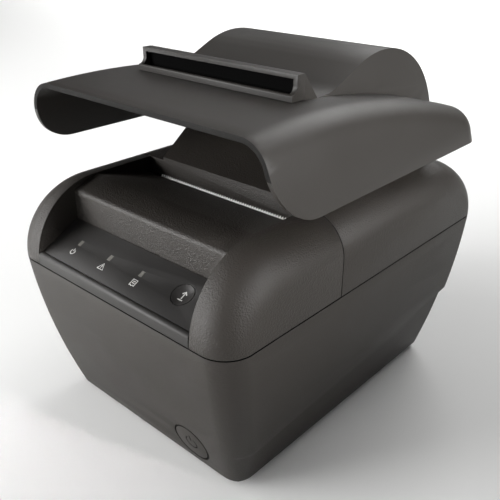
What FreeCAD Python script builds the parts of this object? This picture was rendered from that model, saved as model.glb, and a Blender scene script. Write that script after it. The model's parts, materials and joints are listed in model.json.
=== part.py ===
import FreeCAD
import Part
import Sketcher
import math
import os
from types import SimpleNamespace

# Receipt printer with a lifting lid, a spill hood and a ticket rail, in millimetres.
# +Z is up, the face looks along -Y, and the origin is on the floor under the middle of the case.

Vector = FreeCAD.Vector
Rotation = FreeCAD.Rotation

# Driving dimensions: alias, number, meaning.
SIZES = (
    ("case_width", 145, "case width at the seam"),
    ("case_depth", 196.6, "case depth at the seam"),
    ("foot_height", 3, "height of the rubber feet"),
    ("foot_radius", 8, "radius of a rubber foot"),
    ("foot_inset", 15, "foot centre from the sides of the case floor"),
    ("seam_height", 82.5, "middle of the seam above the floor"),
    ("seam_gap", 0.7, "gap between the case and what stands on it"),
    ("wall", 2.4, "thickness of the moulded walls"),
    ("front_lean", 17.8, "how far the front wall leans in at the floor"),
    ("rear_lean", 20, "how far the rear wall leans in at the floor"),
    ("side_lean", 9.8, "how far a side wall leans in at the floor"),
    ("wall_bow", 2.2, "how far the leaning walls bow out half way up"),
    ("corner_radius", 14, "corner radius at the seam"),
    ("floor_corner_radius", 11, "corner radius at the floor"),
    ("rear_corner_radius", 6, "radius of the rear corners"),
    ("plinth_inset", 2, "plinth of the case inside its sides and rear"),
    ("plinth_height", 22, "top of the plinth at the face"),
    ("plinth_rise", 18.7, "rise of the plinth from the face to the back"),
    ("arch_radius", 36, "radius of the front and rear arch of the top"),
    ("shoulder_radius", 18, "radius along the top of the sides"),
    ("lid_setback", 71.7, "front of the lid behind the face"),
    ("cover_gap", 0.5, "gap between the front cover and the lid"),
    ("fit_gap", 0.3, "gap round a piece that drops into another"),
    ("running_gap", 0.05, "radial gap of a shaft in its bearing"),
    ("well_width", 104, "width between the inner walls of the shoulders"),
    ("lip_depth", 3, "front of the panel face behind the lip's front"),
    ("lip_height", 6, "front of the panel face above the seam"),
    ("panel_tilt", 26.3, "slope of the control panel in degrees"),
    ("panel_length", 23.2, "length of the control panel up its slope"),
    ("panel_thickness", 2, "thickness of the control panel"),
    ("step_drop", 5, "front edge of the deck below the top"),
    ("deck_edge", 2.5, "radius of the deck's front edge"),
    ("crest_setback", 14, "crest of the deck behind its front edge"),
    ("crest_drop", 0.6, "crest of the deck below the top"),
    ("deck_drop", 7.6, "rear end of the deck below the top"),
    ("tear_depth", 5, "seat of the tear bar"),
    ("tear_thickness", 0.8, "thickness of the tear bar"),
    ("tear_lip", 1, "deck over the tear bar"),
    ("tear_ledge", 1.4, "deck under the tear bar"),
    ("tear_margin", 2, "tear bar beyond each end of the roll"),
    ("tooth_pitch", 1.5, "pitch of the tear bar's teeth"),
    ("tooth_depth", 0.9, "depth of the tear bar's teeth"),
    ("paper_slot", 1.5, "width of the paper slot"),
    ("light_width", 2, "width of a status light"),
    ("light_length", 3, "length of a status light up the slope"),
    ("light_run", 11.9, "status lights above the front of the panel"),
    ("power_light_x", -35.7, "power light"),
    ("error_light_x", -13.5, "error light"),
    ("paper_light_x", 8.6, "paper light"),
    ("feed_x", 34.5, "feed button"),
    ("feed_radius", 5.2, "radius of the feed button"),
    ("feed_dish", 14, "radius of the dish in the feed button"),
    ("feed_depth", 5, "length of the feed button"),
    ("feed_travel", 0.8, "travel of the feed button"),
    ("board_thickness", 1.6, "thickness of the circuit boards"),
    ("power_x", 35.5, "power button"),
    ("power_height", 16.5, "power button above the floor"),
    ("power_radius", 10.5, "radius of the power button"),
    ("power_depth", 7, "length of the power button"),
    ("power_tilt", 15, "lean of the power button's axis in degrees"),
    ("hinge_radius", 4.3, "outer radius of the lid hinge"),
    ("hinge_gap", 0.5, "gap between the bucket and a hinge knuckle"),
    ("knuckle_width", 10, "width of a hinge knuckle"),
    ("lug_width", 5, "width of a hinge lug on the lid"),
    ("hinge_pin_radius", 1.5, "radius of the hinge pins"),
    ("hump_width", 104, "width of the lid's hump at the roll"),
    ("hump_flare", 34, "length over which the hump widens"),
    ("strip_height", 1.6, "front strip of the lid above the shoulders"),
    ("hump_gap", 5, "how much wider the hump's curve is than the bucket's"),
    ("hump_offset", 7.5, "axis of the hump's curve before the roll's axis"),
    ("hump_lift", 14.8, "axis of the hump's curve above the roll's axis"),
    ("hump_slope", 21.5, "slope of the front of the hump in degrees"),
    ("mouth_drop", 8.6, "top of the lid's mouth below the top"),
    ("gear_gap", 1.1, "gap between the gears and the sides of the mouth"),
    ("roll_width", 80, "width of the paper roll"),
    ("roll_gap", 1.5, "gap between the ends of the roll and its bucket"),
    ("roll_drop", 1.5, "axis of the paper roll below the seam"),
    ("bucket_gap", 5.1, "gap between the print frame and the paper bucket"),
    ("rear_gap", 7.3, "paper bucket before the back of the case"),
    ("bucket_wall", 2, "thickness of the paper bucket"),
    ("flange_width", 14, "width of the bucket's side flanges"),
    ("flange_drop", 24.5, "underside of the bucket's flanges below the seam"),
    ("rib_thickness", 3, "thickness of the ribs in the case"),
    ("platen_radius", 6, "radius of the platen roller"),
    ("platen_shaft_radius", 2.5, "radius of the platen shaft"),
    ("nip_gap", 0.1, "paper gap between the platen and the head"),
    ("bush_radius", 4, "radius of the platen bushes"),
    ("bush_flange", 5.2, "radius of a bush's flange"),
    ("sheet_thickness", 1.5, "thickness of the steel frame"),
    ("bracket_thickness", 1.2, "thickness of the platen bracket"),
    ("side_gap", 0.6, "gap between the platen bracket and the frame"),
    ("gear_module", 0.8, "module of the gears"),
    ("gear_width", 4, "width of the gears"),
    ("platen_teeth", 18, "teeth of the platen gear"),
    ("idler_teeth", 30, "teeth of the idler gear"),
    ("pinion_teeth", 12, "teeth of the pinions"),
    ("backlash", 0.16, "play between meshing teeth"),
    ("stud_radius", 2, "radius of the idler's stud"),
    ("motor_radius", 13, "radius of the feed motor"),
    ("motor_length", 24, "length of the feed motor"),
    ("motor_angle", 53, "pinion below the idler, in degrees from level"),
    ("shaft_radius", 1, "radius of the motor shafts"),
    ("frame_drop", 50.5, "underside of the print frame below the platen axis"),
    ("frame_front", 20.5, "front of the print frame before the platen axis"),
    ("frame_rear", 17, "rear of the print frame behind the platen axis"),
    ("post_radius", 4, "radius of the posts under the print frame"),
    ("head_depth", 8, "depth of the print head and its heat sink"),
    ("head_height", 16, "height of the print head"),
    ("head_pivot_drop", 14.5, "head pivot below the platen axis"),
    ("head_pin_radius", 1.5, "radius of the head's pivot pin"),
    ("head_lug_width", 5, "width of the head's lugs"),
    ("spring_thickness", 0.6, "thickness of the head spring"),
    ("spring_width", 30, "width of the head spring"),
    ("blade_thickness", 1, "thickness of the cutter blades"),
    ("blade_clearance", 2, "fixed blade above the platen roller"),
    ("blade_drop", 1.55, "fixed blade below the underside of the deck"),
    ("blade_gap", 0.1, "gap under and over the moving blade"),
    ("blade_vee", 2.5, "depth of the vee in the moving blade"),
    ("blade_rest", 3, "edge of the moving blade before the paper at rest"),
    ("tail_length", 31, "length of the moving blade with its tail"),
    ("wing_length", 8, "length of the moving blade's wings"),
    ("rack_inset", 18, "pitch line of the rack inside the blade's end"),
    ("rack_rise", 1.2, "rack above the moving blade"),
    ("cutter_motor_radius", 6, "radius of the cutter motor"),
    ("cutter_motor_length", 20, "length of the cutter motor"),
    ("hood_width", 139, "width of the hood under its top"),
    ("hood_skirt_width", 159, "width of the hood at its lower edge"),
    ("hood_setback", 21.3, "front of the hood behind the face"),
    ("hood_rear_setback", 18.8, "rear of the hood before the back"),
    ("hood_height", 33, "crown of the hood above its lower edge"),
    ("hood_lift", 21.2, "crown of the hood above the lid's hump"),
    ("crown_setback", 125.5, "crown of the hood before its rear"),
    ("crown_radius", 390, "radius of the hood's top along the depth"),
    ("hood_shoulder_radius", 14, "radius of the hood's upper edges"),
    ("hood_wall", 2.2, "thickness of the hood"),
    ("cheek_radius", 22, "radius of the hood's front lower corners"),
    ("band_width", 94, "width of the hood's roll hump"),
    ("valley_radius", 30, "radius of the valley before the hood's hump"),
    ("valley_drop", 1.1, "valley below the hood's crown"),
    ("band_rise", 12.2, "top of the hood's hump above its crown"),
    ("band_gap", 4, "how much wider the hood's hump is than the lid's"),
    ("band_offset", 12, "axis of the hood's hump before the roll's axis"),
    ("band_slope", 24, "slope of the front of the hood's hump in degrees"),
    ("tongue_slope", 7, "lean of the hood's rear tongue in degrees"),
    ("rail_length", 95, "length of the ticket rail"),
    ("rail_height", 10.5, "height of the ticket rail"),
    ("rail_depth", 8, "depth of the ticket rail"),
    ("rail_wall", 1.8, "thickness of the ticket rail"),
    ("rail_lip", 3, "height of the ticket rail's front lip"),
    ("rail_cap", 2.2, "thickness of the ticket rail's ends"),
    ("rail_lean", 3.2, "how far the ticket rail's top stands back"),
    ("rail_curl", 4, "height of the curl in the ticket rail's ends"),
    ("wedge_run", 9, "length of the wedge behind the ticket rail"),
    ("valley_run", 3, "flat of the valley behind the wedge"),
    ("hood_rib_x", 38, "support ribs of the hood from the middle"),
    ("inlet_x", -35, "power inlet"),
    ("inlet_width", 14, "width and height of the power inlet"),
    ("inlet_radius", 5.5, "radius of the power inlet's nose"),
    ("inlet_bore", 4, "radius of the power inlet's bore"),
    ("inlet_pin", 1, "radius of the power inlet's pin"),
    ("usb_x", -17, "square port"),
    ("usb_width", 12, "width of the square port"),
    ("usb_height", 11, "height of the square port"),
    ("usb_shell", 1.7, "thickness of the square port's shell"),
    ("serial_x", 8, "nine-way port"),
    ("serial_width", 31, "width of the nine-way port"),
    ("serial_nose", 17, "width of the nine-way port's nose"),
    ("serial_height", 12.5, "height of the nine-way port"),
    ("drawer_x", 35, "cash drawer socket"),
    ("drawer_width", 13.4, "width of the cash drawer socket"),
    ("drawer_mouth_width", 10, "width of the cash drawer socket's mouth"),
    ("drawer_mouth_height", 7, "height of the cash drawer socket's mouth"),
    ("socket_depth", 14, "depth of the sockets behind the port plate"),
    ("socket_reach", 2, "sockets beyond the port plate"),
    ("panel_board_width", 84, "width of the panel board"),
    ("panel_board_length", 12, "length of the panel board up the slope"),
    ("bay_width", 92, "width of the port bay"),
    ("bay_low", 8, "floor of the port bay"),
    ("bay_height", 21, "height of the port bay"),
    ("bay_wall", 2, "thickness of the port bay's walls"),
    ("plate_setback", 26.3, "port plate before the back"),
    ("plate_thickness", 1, "thickness of the port plate"),
    ("board_length", 64, "length of the main board"),
    ("board_width", 88, "width of the main board"),
    ("board_lift", 3.6, "main board above the case floor"),
    ("boss_radius", 3, "radius of the screw bosses"),
    ("boss_gap", 14.8, "front bosses behind the print frame"),
    ("screw_radius", 1.5, "radius of the screws"),
    ("screw_head_radius", 2.8, "radius of the screw heads"),
    ("screw_head_height", 1.6, "height of the screw heads"),
    ("screw_length", 6, "length of the screws"),
)

doc = FreeCAD.newDocument("receipt_printer")
sheet = doc.addObject("Spreadsheet::Sheet", "Sizes")
for row, (alias, number, meaning) in enumerate(SIZES, start=1):
    sheet.set(f"A{row}", meaning)
    sheet.set(f"B{row}", str(number))
    sheet.setAlias(f"B{row}", alias)
doc.recompute()


class Size:
    """A number that also knows its formula in the sheet's aliases."""

    def __init__(self, value, formula):
        self.value = value
        self.formula = formula

    def __add__(self, other):
        other = as_size(other)
        return Size(self.value + other.value, f"({self.formula} + {other.formula})")

    def __sub__(self, other):
        other = as_size(other)
        return Size(self.value - other.value, f"({self.formula} - {other.formula})")

    def __mul__(self, other):
        other = as_size(other)
        return Size(self.value * other.value, f"({self.formula} * {other.formula})")

    def __truediv__(self, other):
        other = as_size(other)
        return Size(self.value / other.value, f"({self.formula} / {other.formula})")

    def __radd__(self, other):
        return as_size(other) + self

    def __rsub__(self, other):
        return as_size(other) - self

    def __rmul__(self, other):
        return as_size(other) * self

    def __neg__(self):
        return Size(-self.value, f"(0 - {self.formula})")


def as_size(number):
    return number if isinstance(number, Size) else Size(float(number), repr(float(number)))


def sine(angle):
    return Size(math.sin(math.radians(angle.value)), f"sin({angle.formula} * 1 deg)")


def cosine(angle):
    return Size(math.cos(math.radians(angle.value)), f"cos({angle.formula} * 1 deg)")


def root(square):
    return Size(math.sqrt(square.value), f"sqrt({square.formula})")


s = SimpleNamespace()
for alias, number, meaning in SIZES:
    setattr(s, alias, Size(float(sheet.get(alias)), f"Sizes.{alias}"))


# Modelling helpers

PLANES = {
    "XY": (Rotation(), "z"),
    "XZ": (Rotation(Vector(1, 0, 0), 90), "y"),
    "YZ": (Rotation(Vector(1, 1, 1), 120), "x"),
}
AXES = {
    "X": Rotation(Vector(0, 1, 0), 90),
    "Y": Rotation(Vector(1, 0, 0), -90),
    "Z": Rotation(),
}


def bind(thing, prop, size):
    thing.setExpression(prop, as_size(size).formula)


def place(thing, x, y, z):
    for axis, size in zip("xyz", (x, y, z)):
        bind(thing, f"Placement.Base.{axis}", size)


def arc_between(start, end, radius, side):
    """The arc from start to end whose centre lies to the given side, and whether it runs backwards."""
    chord = end - start
    half = chord.Length / 2
    left = Vector(-chord.y, chord.x, 0).normalize()
    reach = math.sqrt(max(radius ** 2 - half ** 2, 0))
    turn = 1 if side == "left" else -1
    centre = (start + end) / 2 + left * turn * reach
    first, last = (start, end) if side == "left" else (end, start)
    low = math.atan2(first.y - centre.y, first.x - centre.x)
    high = math.atan2(last.y - centre.y, last.x - centre.x)
    circle = Part.Circle(centre, Vector(0, 0, 1), radius)
    return Part.ArcOfCircle(circle, low, high), side == "right"


def outline(name, plane, path, at=0):
    """A closed sketch through the corners of a path.

    A corner is (u, v), followed by a straight edge, or (u, v, radius, side), followed by an arc
    whose centre lies to that side of the way to the next corner.
    """
    turn, normal = PLANES[plane]
    sketch = doc.addObject("Sketcher::SketchObject", name)
    sketch.Placement = FreeCAD.Placement(Vector(), turn)
    bind(sketch, f"Placement.Base.{normal}", at)
    corners = [tuple(as_size(c) if not isinstance(c, str) else c for c in corner) for corner in path]
    points = [Vector(corner[0].value, corner[1].value, 0) for corner in corners]
    edges = []
    ends = []
    for index, corner in enumerate(corners):
        start = points[index]
        end = points[(index + 1) % len(points)]
        if len(corner) == 2:
            edges.append(Part.LineSegment(start, end))
            ends.append((1, 2))
        else:
            arc, backwards = arc_between(start, end, corner[2].value, corner[3])
            edges.append(arc)
            ends.append((2, 1) if backwards else (1, 2))
    sketch.addGeometry(edges, False)
    constraints = []
    formulas = {}
    for index, corner in enumerate(corners):
        follower = (index + 1) % len(corners)
        constraints.append(
            Sketcher.Constraint("Coincident", index, ends[index][1], follower, ends[follower][0])
        )
    for index, corner in enumerate(corners):
        for kind, size in zip(("DistanceX", "DistanceY"), corner):
            formulas[len(constraints)] = size.formula
            constraints.append(Sketcher.Constraint(kind, index, ends[index][0], size.value))
        if len(corner) > 2:
            formulas[len(constraints)] = corner[2].formula
            constraints.append(Sketcher.Constraint("Radius", index, corner[2].value))
    sketch.addConstraint(constraints)
    for number, formula in formulas.items():
        sketch.setExpression(f"Constraints[{number}]", formula)
    return sketch


def extruded(name, sketch, length, symmetric=True):
    solid = doc.addObject("Part::Extrusion", name)
    solid.Base = sketch
    solid.DirMode = "Normal"
    solid.Solid = True
    solid.Symmetric = symmetric
    bind(solid, "LengthFwd", length)
    return solid


def prism(name, plane, path, low, high):
    """A path drawn on a plane and extruded from one place on the plane's normal to another."""
    if plane == "XZ":
        return extruded(name, outline(f"{name}_outline", plane, path, high), high - low, False)
    return extruded(name, outline(f"{name}_outline", plane, path, low), high - low, False)


def box(name, x, y, z):
    """A block between (low, high) pairs along each axis."""
    solid = doc.addObject("Part::Box", name)
    for side, (low, high) in zip(("Length", "Width", "Height"), (x, y, z)):
        bind(solid, side, as_size(high) - low)
    place(solid, x[0], y[0], z[0])
    return solid


def rod(name, radius, axis, start, length):
    solid = doc.addObject("Part::Cylinder", name)
    solid.Placement = FreeCAD.Placement(Vector(), AXES[axis])
    bind(solid, "Radius", radius)
    bind(solid, "Height", length)
    place(solid, *start)
    return solid


def fused(name, *solids):
    union = doc.addObject("Part::MultiFuse", name)
    union.Shapes = list(solids)
    union.Refine = True
    return union


def cut(name, base, *tools):
    left = base
    for index, tool in enumerate(tools):
        last = index == len(tools) - 1
        step = doc.addObject("Part::Cut", name if last else f"{name}_cut_{index}")
        step.Base = left
        step.Tool = tool
        left = step
    return left


def shared(name, *solids):
    common = doc.addObject("Part::MultiCommon", name)
    common.Shapes = list(solids)
    return common


def group(name, *solids):
    """Separate solids kept together as one node."""
    compound = doc.addObject("Part::Compound", name)
    compound.Links = list(solids)
    return compound


def rounded(name, base, radius, pick):
    """A fillet on the edges that pick accepts; radius may depend on the height of an edge's end."""
    doc.recompute()
    fillet = doc.addObject("Part::Fillet", name)
    fillet.Base = base
    edges = []
    for number, edge in enumerate(base.Shape.Edges, start=1):
        if pick(edge):
            ends = [edge.valueAt(edge.FirstParameter), edge.valueAt(edge.LastParameter)]
            edges.append((number, radius(ends[0]), radius(ends[1])))
    fillet.Edges = edges
    return fillet


NODES = []


def node(label, thing):
    thing.Label = label
    NODES.append(thing)
    return thing


def screw(name, x, y, z, up=1):
    """A screw whose head's seat is at z; up is 1 where the shank points up."""
    low = z if up == 1 else z - s.screw_length
    head_low = z - s.screw_head_height if up == 1 else z
    shank = rod(f"{name}_shank", s.screw_radius, "Z", (x, y, low), s.screw_length)
    head = rod(f"{name}_head", s.screw_head_radius, "Z", (x, y, head_low), s.screw_head_height)
    return fused(name, shank, head)


# Places that several pieces share

half_width = s.case_width / 2
face = -s.case_depth / 2
back = s.case_depth / 2
case_top = s.seam_height - s.seam_gap / 2
cover_low = s.seam_height + s.seam_gap / 2
top = cover_low + s.arch_radius
floor_top = s.foot_height + s.wall
lid_line = face + s.lid_setback
cover_rear = lid_line - s.cover_gap / 2
lid_front = lid_line + s.cover_gap / 2
well_half = s.well_width / 2
hinge_y = back - s.hinge_radius
hinge_z = cover_low + s.hinge_radius
panel_front = face + s.lip_depth
panel_low = cover_low + s.lip_height
panel_run = s.panel_length * cosine(s.panel_tilt)
panel_rise = s.panel_length * sine(s.panel_tilt)
step_y = panel_front + panel_run
step_z = top - s.step_drop
crest_y = step_y + s.crest_setback
crest_z = top - s.crest_drop
tear_tip = lid_front - s.paper_slot
tear_front = tear_tip - s.tear_depth
tear_top = top - s.deck_drop - s.tear_lip
tear_seat = tear_top - s.tear_thickness
tear_half = s.roll_width / 2 + s.tear_margin
deck_low = tear_seat - s.tear_ledge
deck_end = tear_tip - s.tooth_depth - s.fit_gap
mouth_top = top - s.mouth_drop
fixed_blade_low = deck_low - s.blade_drop
paper_y = lid_front - s.paper_slot / 2
platen_y = paper_y + s.platen_radius
platen_z = fixed_blade_low - s.blade_clearance - s.platen_radius
frame_low = platen_z - s.frame_drop
frame_front_y = platen_y - s.frame_front
frame_rear_y = platen_y + s.frame_rear
bucket_front = frame_rear_y + s.bucket_gap
bucket_rear = back - s.rear_gap
bucket_radius = (bucket_rear - bucket_front) / 2 - s.bucket_wall
roll_y = (bucket_rear + bucket_front) / 2
roll_z = s.seam_height - s.roll_drop
bucket_half = s.roll_width / 2 + s.roll_gap
bucket_side = bucket_half + s.bucket_wall
flange_edge = bucket_side + s.flange_width
flange_low = s.seam_height - s.flange_drop
frame_half = bucket_half + s.bracket_thickness + s.side_gap
gear_low = frame_half + s.sheet_thickness + s.side_gap
gear_high = gear_low + s.gear_width
mouth_half = gear_high + s.gear_gap
hinge_x = bucket_side + s.hinge_gap + s.knuckle_width / 2
pin_end = hinge_x + s.knuckle_width / 2 + s.fit_gap + s.lug_width
pin_start = hinge_x - s.knuckle_width / 2 - s.fit_gap - s.lug_width
plate_y = back - s.plate_setback
bracket_low = fixed_blade_low + s.blade_thickness
bracket_top = bracket_low + s.bracket_thickness
bracket_screws = [(sign * s.roll_width / 3, platen_y + 2 * s.platen_radius) for sign in (-1, 1)]


def lean_at(z, lean):
    """How far a wall that leans in at the floor stands in at a height."""
    depth = (s.seam_height - z) / (s.seam_height - s.foot_height)
    return lean * depth - 4 * s.wall_bow * depth * (1 - depth)


def corner_at(z):
    depth = (s.seam_height - z) / (s.seam_height - s.foot_height)
    return s.corner_radius - (s.corner_radius - s.floor_corner_radius) * depth


def case_section(name, z, inset, front_inset):
    """The rounded outline of the case at a height, drawn in at the front and at the other walls."""
    side = half_width - lean_at(z, s.side_lean) - inset
    front = face + lean_at(z, s.front_lean) + front_inset
    rear = back - lean_at(z, s.rear_lean) - inset
    radius = corner_at(z) - (inset + front_inset) / 2
    rear_radius = s.rear_corner_radius - inset
    path = [
        (radius - side, front),
        (side - radius, front, radius, "left"),
        (side, front + radius),
        (side, rear - rear_radius, rear_radius, "left"),
        (side - rear_radius, rear),
        (rear_radius - side, rear, rear_radius, "left"),
        (-side, rear - rear_radius),
        (-side, front + radius, radius, "left"),
    ]
    return outline(name, "XY", path, z)


def case_loft(name, low, high, inset, front_inset):
    solid = doc.addObject("Part::Loft", name)
    heights = (low, (low + high) / 2, high)
    solid.Sections = [case_section(f"{name}_{i}", z, inset, front_inset) for i, z in enumerate(heights)]
    solid.Solid = True
    solid.Ruled = False
    return solid


def plinth_space(name, thickness):
    """The space round the plinth at the sides and the rear, thickened inward and upward."""
    rise = s.plinth_rise / s.case_depth
    start = s.plinth_height + rise * face + thickness
    end = s.plinth_height + rise * (2 * back - face) + thickness
    low = prism(
        f"{name}_zone",
        "YZ",
        [(2 * face, as_size(0)), (2 * back, as_size(0)), (2 * back, end), (2 * face, start)],
        -s.case_width,
        s.case_width,
    )
    core = case_loft(
        f"{name}_core",
        s.foot_height,
        case_top,
        s.plinth_inset + thickness,
        thickness - s.plinth_inset,
    )
    return cut(name, low, core)


def power_axis(name, radius, start, length):
    """A cylinder along the power button's axis, from start to start + length inward."""
    solid = rod(name, radius, "Y", (0, 0, 0), length)
    solid.Placement = FreeCAD.Placement(Vector(), Rotation(Vector(1, 0, 0), -90 + s.power_tilt.value))
    centre_y = face + lean_at(s.power_height, s.front_lean)
    place(
        solid,
        s.power_x,
        centre_y + start * cosine(s.power_tilt),
        s.power_height + start * sine(s.power_tilt),
    )
    return solid


# Lower case

outer_case = case_loft("outer_case", s.foot_height, case_top, as_size(0), as_size(0))
inner_case = case_loft("inner_case", floor_top, s.seam_height + s.wall, s.wall, s.wall)
bay_half = s.bay_width / 2
bay_high = s.bay_low + s.bay_height
bay_front = plate_y - 2 * s.bay_wall
post_places = [
    (sign * (frame_half - 2 * s.post_radius), y)
    for sign in (-1, 1)
    for y in (frame_front_y + 2 * s.post_radius, frame_rear_y - 1.5 * s.post_radius)
]
board_half = s.board_width / 2
board_rear = plate_y - s.fit_gap
board_front = board_rear - s.board_length
board_low = floor_top + s.board_lift
board_top = board_low + s.board_thickness
boss_places = [
    (sign * (board_half - s.boss_radius), y)
    for sign in (-1, 1)
    for y in (frame_rear_y + s.boss_gap, board_rear - 8 * s.boss_radius)
]


def make_lower_case():
    hollow = cut("case_hollow", inner_case, plinth_space("plinth_backing", s.wall))
    shell = cut("case_shell", outer_case, hollow)
    bay_block = box(
        "bay_block",
        (-bay_half - s.bay_wall, bay_half + s.bay_wall),
        (bay_front, back),
        (floor_top - s.bay_wall, bay_high + s.bay_wall),
    )
    ribs = []
    for name, sign in (("left", -1), ("right", 1)):
        for index, y in enumerate((roll_y - bucket_radius / 2, roll_y + bucket_radius / 2)):
            near = sign * (bucket_side + 2 * s.fit_gap)
            far = sign * half_width
            ribs.append(
                box(
                    f"rib_{name}_{index}",
                    (near, far) if sign == 1 else (far, near),
                    (y - s.rib_thickness / 2, y + s.rib_thickness / 2),
                    (floor_top - s.wall / 2, flange_low),
                )
            )
    webs = []
    knuckles = []
    for name, sign in (("left", -1), ("right", 1)):
        low = sign * hinge_x - s.knuckle_width / 2
        webs.append(
            box(
                f"web_{name}",
                (low, low + s.knuckle_width),
                (hinge_y - s.hinge_radius, hinge_y + s.hinge_radius / 2),
                (case_top - 2 * s.hinge_radius, hinge_z),
            )
        )
        knuckles.append(
            rod(f"knuckle_{name}", s.hinge_radius, "X", (low, hinge_y, hinge_z), s.knuckle_width)
        )
    inside = shared("inner_walls", outer_case, fused("inner_blocks", bay_block, *ribs))
    base = s.foot_height + s.wall / 2
    posts = [
        rod(f"post_{i}", s.post_radius, "Z", (x, y, base), frame_low - base)
        for i, (x, y) in enumerate(post_places)
    ]
    bosses = [
        rod(f"boss_{i}", s.boss_radius, "Z", (x, y, base), board_low - base)
        for i, (x, y) in enumerate(boss_places)
    ]
    body = fused("case_body", shell, inside, *webs, *knuckles, *posts, *bosses)
    bay = box("bay", (-bay_half, bay_half), (bay_front - s.wall, 2 * back), (s.bay_low, bay_high))
    button_hole = power_axis("power_hole", s.power_radius + s.fit_gap, -s.power_depth, 3 * s.power_depth)
    pin_hole = rod(
        "knuckle_hole",
        s.hinge_pin_radius + s.running_gap,
        "X",
        (-half_width, hinge_y, hinge_z),
        s.case_width,
    )
    depth = s.screw_length
    holes = [
        rod(f"post_hole_{i}", s.screw_radius, "Z", (x, y, frame_low - depth), 2 * depth)
        for i, (x, y) in enumerate(post_places)
    ]
    holes += [
        rod(f"boss_hole_{i}", s.screw_radius, "Z", (x, y, board_top - depth), 2 * depth)
        for i, (x, y) in enumerate(boss_places)
    ]
    openings = group("case_openings", bay, button_hole, pin_hole, *holes)
    space = plinth_space("plinth_cut", as_size(0))
    return node("lower_case", cut("case_done", body, space, openings))


def make_feet():
    floor_half = half_width - s.side_lean - s.foot_inset
    floor_front = face + s.front_lean + s.foot_inset
    floor_rear = back - s.rear_lean - s.foot_inset
    feet = [
        rod(f"foot_{i}", s.foot_radius, "Z", (x, y, 0), s.foot_height)
        for i, (x, y) in enumerate(
            (sign * floor_half, y) for sign in (-1, 1) for y in (floor_front, floor_rear)
        )
    ]
    return node("rubber_feet", group("feet", *feet))


# Arched top, shared by the front cover and the lid

def arch(name, inset, low):
    """The arched top between the face and the back, drawn in by an inset, down to a height."""
    radius = s.arch_radius - inset
    front = face + inset
    rear = back - inset
    path = [
        (front, low),
        (rear, low),
        (rear, cover_low, radius, "left"),
        (rear - radius, cover_low + radius),
        (front + radius, cover_low + radius, radius, "left"),
        (front, cover_low),
    ]
    width = s.case_width - 2 * inset
    raw = extruded(f"{name}_raw", outline(f"{name}_outline", "YZ", path), width)
    side = width.value / 2
    front_radius = s.corner_radius - inset
    rear_radius = s.rear_corner_radius - inset
    high_radius = s.shoulder_radius - inset
    rim = (cover_low + radius).value

    def radius_at(point):
        low_radius = rear_radius if point.y > 0 else front_radius
        return high_radius.value if point.z > rim - 0.01 else low_radius.value

    def on_side(edge):
        points = (edge.valueAt(edge.FirstParameter), edge.valueAt(edge.LastParameter))
        flat = all(abs(abs(p.x) - side) < 0.01 for p in points)
        across = points[0].x * points[1].x < 0
        along_floor = all(p.z < low.value + 0.01 for p in points)
        return flat and not across and not along_floor

    return rounded(name, raw, radius_at, on_side)


def front_part(name, solid, rear):
    keep = box(f"{name}_keep", (-s.case_width, s.case_width), (2 * face, rear), (0, 2 * top))
    return shared(name, solid, keep)


def rear_part(name, solid, front):
    keep = box(f"{name}_keep", (-s.case_width, s.case_width), (front, 2 * back), (0, 2 * top))
    return shared(name, solid, keep)


outer_arch = arch("outer_arch", as_size(0), cover_low - s.wall)
inner_arch = arch("inner_arch", s.wall, cover_low - 2 * s.wall)
seam_cut = box(
    "seam_cut",
    (-s.case_width, s.case_width),
    (2 * face, 2 * back),
    (0, cover_low),
)


def make_front_cover():
    outside = front_part("cover_outside", outer_arch, cover_rear)
    inside = front_part("cover_inside", inner_arch, cover_rear - s.wall)
    high = 2 * top
    rise = s.step_drop - s.crest_drop
    slope = root(s.crest_setback * s.crest_setback + rise * rise)
    tangent = s.deck_edge * s.crest_setback / (slope + rise)
    well = prism(
        "well",
        "YZ",
        [
            (2 * face, as_size(0)),
            (step_y, as_size(0)),
            (step_y, step_z - tangent, s.deck_edge, "right"),
            (step_y + tangent * s.crest_setback / slope, step_z + tangent * rise / slope),
            (crest_y, crest_z),
            (deck_end - s.tear_lip, tear_top + s.tear_lip, s.tear_lip, "right"),
            (deck_end, tear_top),
            (as_size(0), tear_top),
            (as_size(0), high),
            (2 * face, high),
        ],
        -well_half,
        well_half,
    )
    under = s.wall / cosine(s.panel_tilt)
    roof = prism(
        "deck_roof",
        "YZ",
        [
            (2 * face, as_size(0)),
            (step_y + s.wall, as_size(0)),
            (step_y + s.wall, step_z - under),
            (crest_y, crest_z - under),
            (tear_front, deck_low),
            (as_size(0), deck_low),
            (as_size(0), high),
            (2 * face, high),
        ],
        -well_half - s.wall,
        well_half + s.wall,
    )
    hollow = cut("cover_hollow", inside, roof)
    shell = cut("cover_shell", outside, well, hollow)
    mouth = box("cover_mouth", (-well_half, well_half), (deck_end, back), (0, high))
    way_in = box(
        "cover_way_in",
        (-mouth_half, mouth_half),
        (cover_rear - 3 * s.wall, back),
        (0, deck_low),
    )
    slot_half = tear_half + s.fit_gap
    slot = box("tear_slot", (-slot_half, slot_half), (tear_front, back), (tear_seat, tear_top))
    return node("front_cover", cut("front_cover_done", shell, mouth, way_in, slot, seam_cut))


hump_radius = bucket_radius + s.hump_gap
hump_y = roll_y - s.hump_offset
hump_z = roll_z + s.hump_lift


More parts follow.
